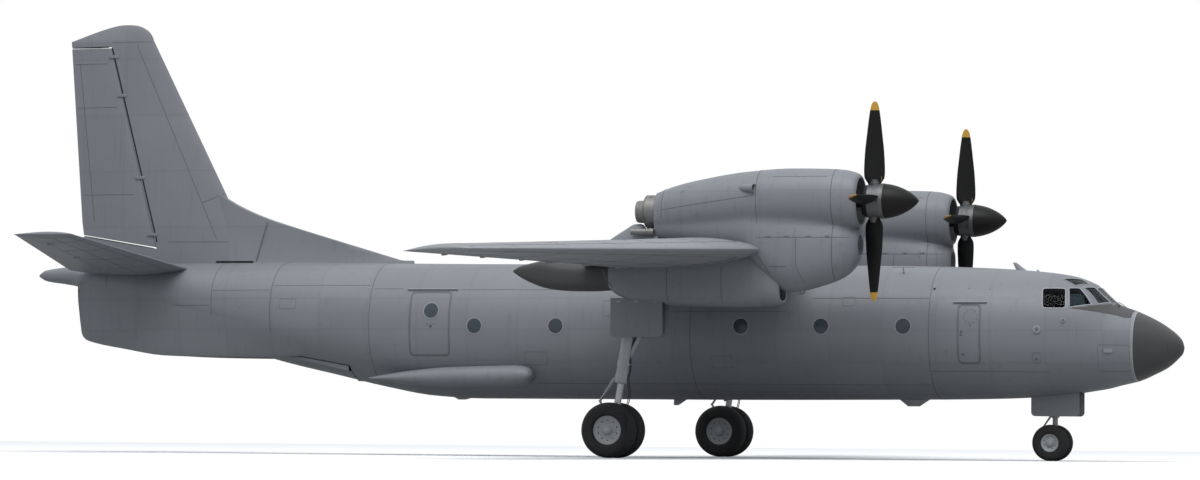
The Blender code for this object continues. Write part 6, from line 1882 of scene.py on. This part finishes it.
MAIN_DOOR_OFFSET = 0.2485
for side, sign, y in NACELLES:
    top, foot = Vector((2.12, y, 3.20)), Vector((1.70, y, 0.525))
    down = (foot - top).normalized()
    length = (foot - top).length
    leg = Shape()
    cylinder = [(0.0, 0.095), (0.02, 0.108), (0.10, 0.118), (0.14, 0.115), (1.38, 0.115), (1.39, 0.122),
                (1.50, 0.122), (1.51, 0.115), (1.64, 0.115), (1.66, 0.130), (1.78, 0.130), (1.80, 0.122),
                (1.815, 0.08), (1.815, 0.03)]
    leg.turned(cylinder, top, down, 40)
    knuckle = [(2.50, 0.070), (2.52, 0.088), (2.60, 0.095), (length + 0.085, 0.090), (length + 0.10, 0.06)]
    leg.turned(knuckle, top, down, 36)
    bar(leg, foot, 0.10, 0.098, 36)
    bar(leg, top, 0.255, 0.075, 28)
    bar(leg, (2.66, y, 3.22), 0.255, 0.050, 24)
    brace_foot, brace_top = top + down * 1.45, Vector((2.67, y, 3.22))
    leg.tube([brace_foot + Vector((0.05, 0, 0.03)), brace_top], 0.040, 20)
    leg.tube([blend(brace_foot, brace_top, t) for t in (0.42, 0.50)], 0.056, 20)
    bar(leg, brace_foot + Vector((0.10, 0, 0)), 0.09, 0.034, 18)
    torque_link(leg, top + down * 1.72 + Vector((-0.13, 0, 0)), foot + Vector((-0.08, 0, 0.13)), -0.24, 0.055)
    leg.finish(f"main_leg_casting_{side}", gear_paint, "landing_gear", [f"main_leg_{side}"], bevel=0.004)
    piston = Shape().turned([(1.80, 0.065), (2.55, 0.065)], top, down, 36)
    piston.finish(f"main_leg_piston_{side}", bright_metal, "landing_gear")
    lines = Shape()
    for way in (-1, 1):
        run = [top + down * s + Vector((0.125 + 0.02 * math.sin(s * 9), way * 0.035, 0))
               for s in spread(0.25, 1.70, 14)]
        run += [top + down * s + Vector((0.11 + 0.10 * math.sin((s - 1.7) * 3.9), way * 0.05, 0))
                for s in spread(1.80, 2.50, 9)]
        lines.tube(run, 0.009, 8)
    lines.finish(f"brake_hoses_{side}", hose_rubber, "landing_gear")
    brakes = Shape()
    for way in (-1, 1):
        for k in range(3):
            s = 0.105 + 0.017 * k
            brakes.turned(collar(way * s, way * (s + 0.009), 0.05, 0.165), foot, (0, 1, 0), 32, ring=True)
    brakes.finish(f"brake_discs_{side}", dark_metal, "landing_gear")
    for edge, way in (("inner", -sign), ("outer", sign)):
        door = Shape()
        door_leaf(door, 1.70, 2.72, 2.28, 3.02, y + way * MAIN_DOOR_OFFSET, -way, 0.09, 4)
        door.finish(f"main_gear_door_leaf_{edge}_{side}", door_paint, "gear_door",
                    [f"main_gear_door_{edge}_{side}"], bevel=0.003)
    hinges = Shape()
    for way in (-1, 1):
        for x in (1.86, 2.20, 2.55):
            hinges.tube([(end, y + way * MAIN_DOOR_OFFSET, 2.955) for end in (x - 0.04, x + 0.04)], 0.016, 12)
    hinges.finish(f"gear_door_hinges_{side}", gear_paint, "gear_door")

nose_gear = Shape()
cylinder = [(0.0, 0.07), (0.004, 0.082), (0.45, 0.085), (0.46, 0.095), (0.56, 0.098), (0.58, 0.10),
            (0.60, 0.094)]
nose_gear.turned(cylinder, (9.40, 0, 1.55), (0, 0, -1), 40)
bar(nose_gear, (9.40, 0, 1.47), 0.262, 0.060, 24)
nose_gear.tube([(9.42, 0, 1.11), (9.85, 0, 1.44)], 0.034, 20)
nose_gear.tube([(9.60, 0, 1.25), (9.66, 0, 1.295)], 0.046, 20)
bar(nose_gear, (9.85, 0, 1.44), 0.262, 0.042, 20)
for way in (-1, 1):
    nose_gear.tube([(9.28, way * 0.10, 1.02), (9.50, way * 0.10, 1.02)], 0.030, 18)
    nose_gear.tube([(9.50, way * 0.10, 1.02), (9.56, way * 0.10, 1.02)], 0.014, 12)
    nose_gear.tube([(9.40, 0, 1.02), (9.40, way * 0.12, 1.02)], 0.024, 14)
nose_gear.finish("nose_leg_casting", gear_paint, "landing_gear", ["nose_leg"], bevel=0.003)
nose_fork = Shape()
nose_fork.turned([(0.05, 0.052), (0.47, 0.052), (0.50, 0.085), (0.54, 0.09), (0.595, 0.09), (0.5994, 0.08)],
                 (9.40, 0, 0.35), (0, 0, 1), 36)
bar(nose_fork, (9.35, 0, 0.35), 0.09, 0.082, 32)
torque_link(nose_fork, (9.325, 0, 0.88), (9.285, 0, 0.40), -0.15, 0.038, 0.012)
nose_fork.finish("nose_fork_casting", gear_paint, "landing_gear", ["nose_fork"], "nose_steering", bevel=0.003)
for side, sign in SIDES:
    door = Shape()
    door_leaf(door, 8.98, 9.92, 0.86, 1.36, sign * 0.2575, -sign, 0.08, 4)
    door.finish(f"nose_gear_door_leaf_{side}", door_paint, "gear_door",
                [f"nose_gear_door_{side}"], bevel=0.003)
print("legs, links, hoses and doors ready")

# %% [markdown]
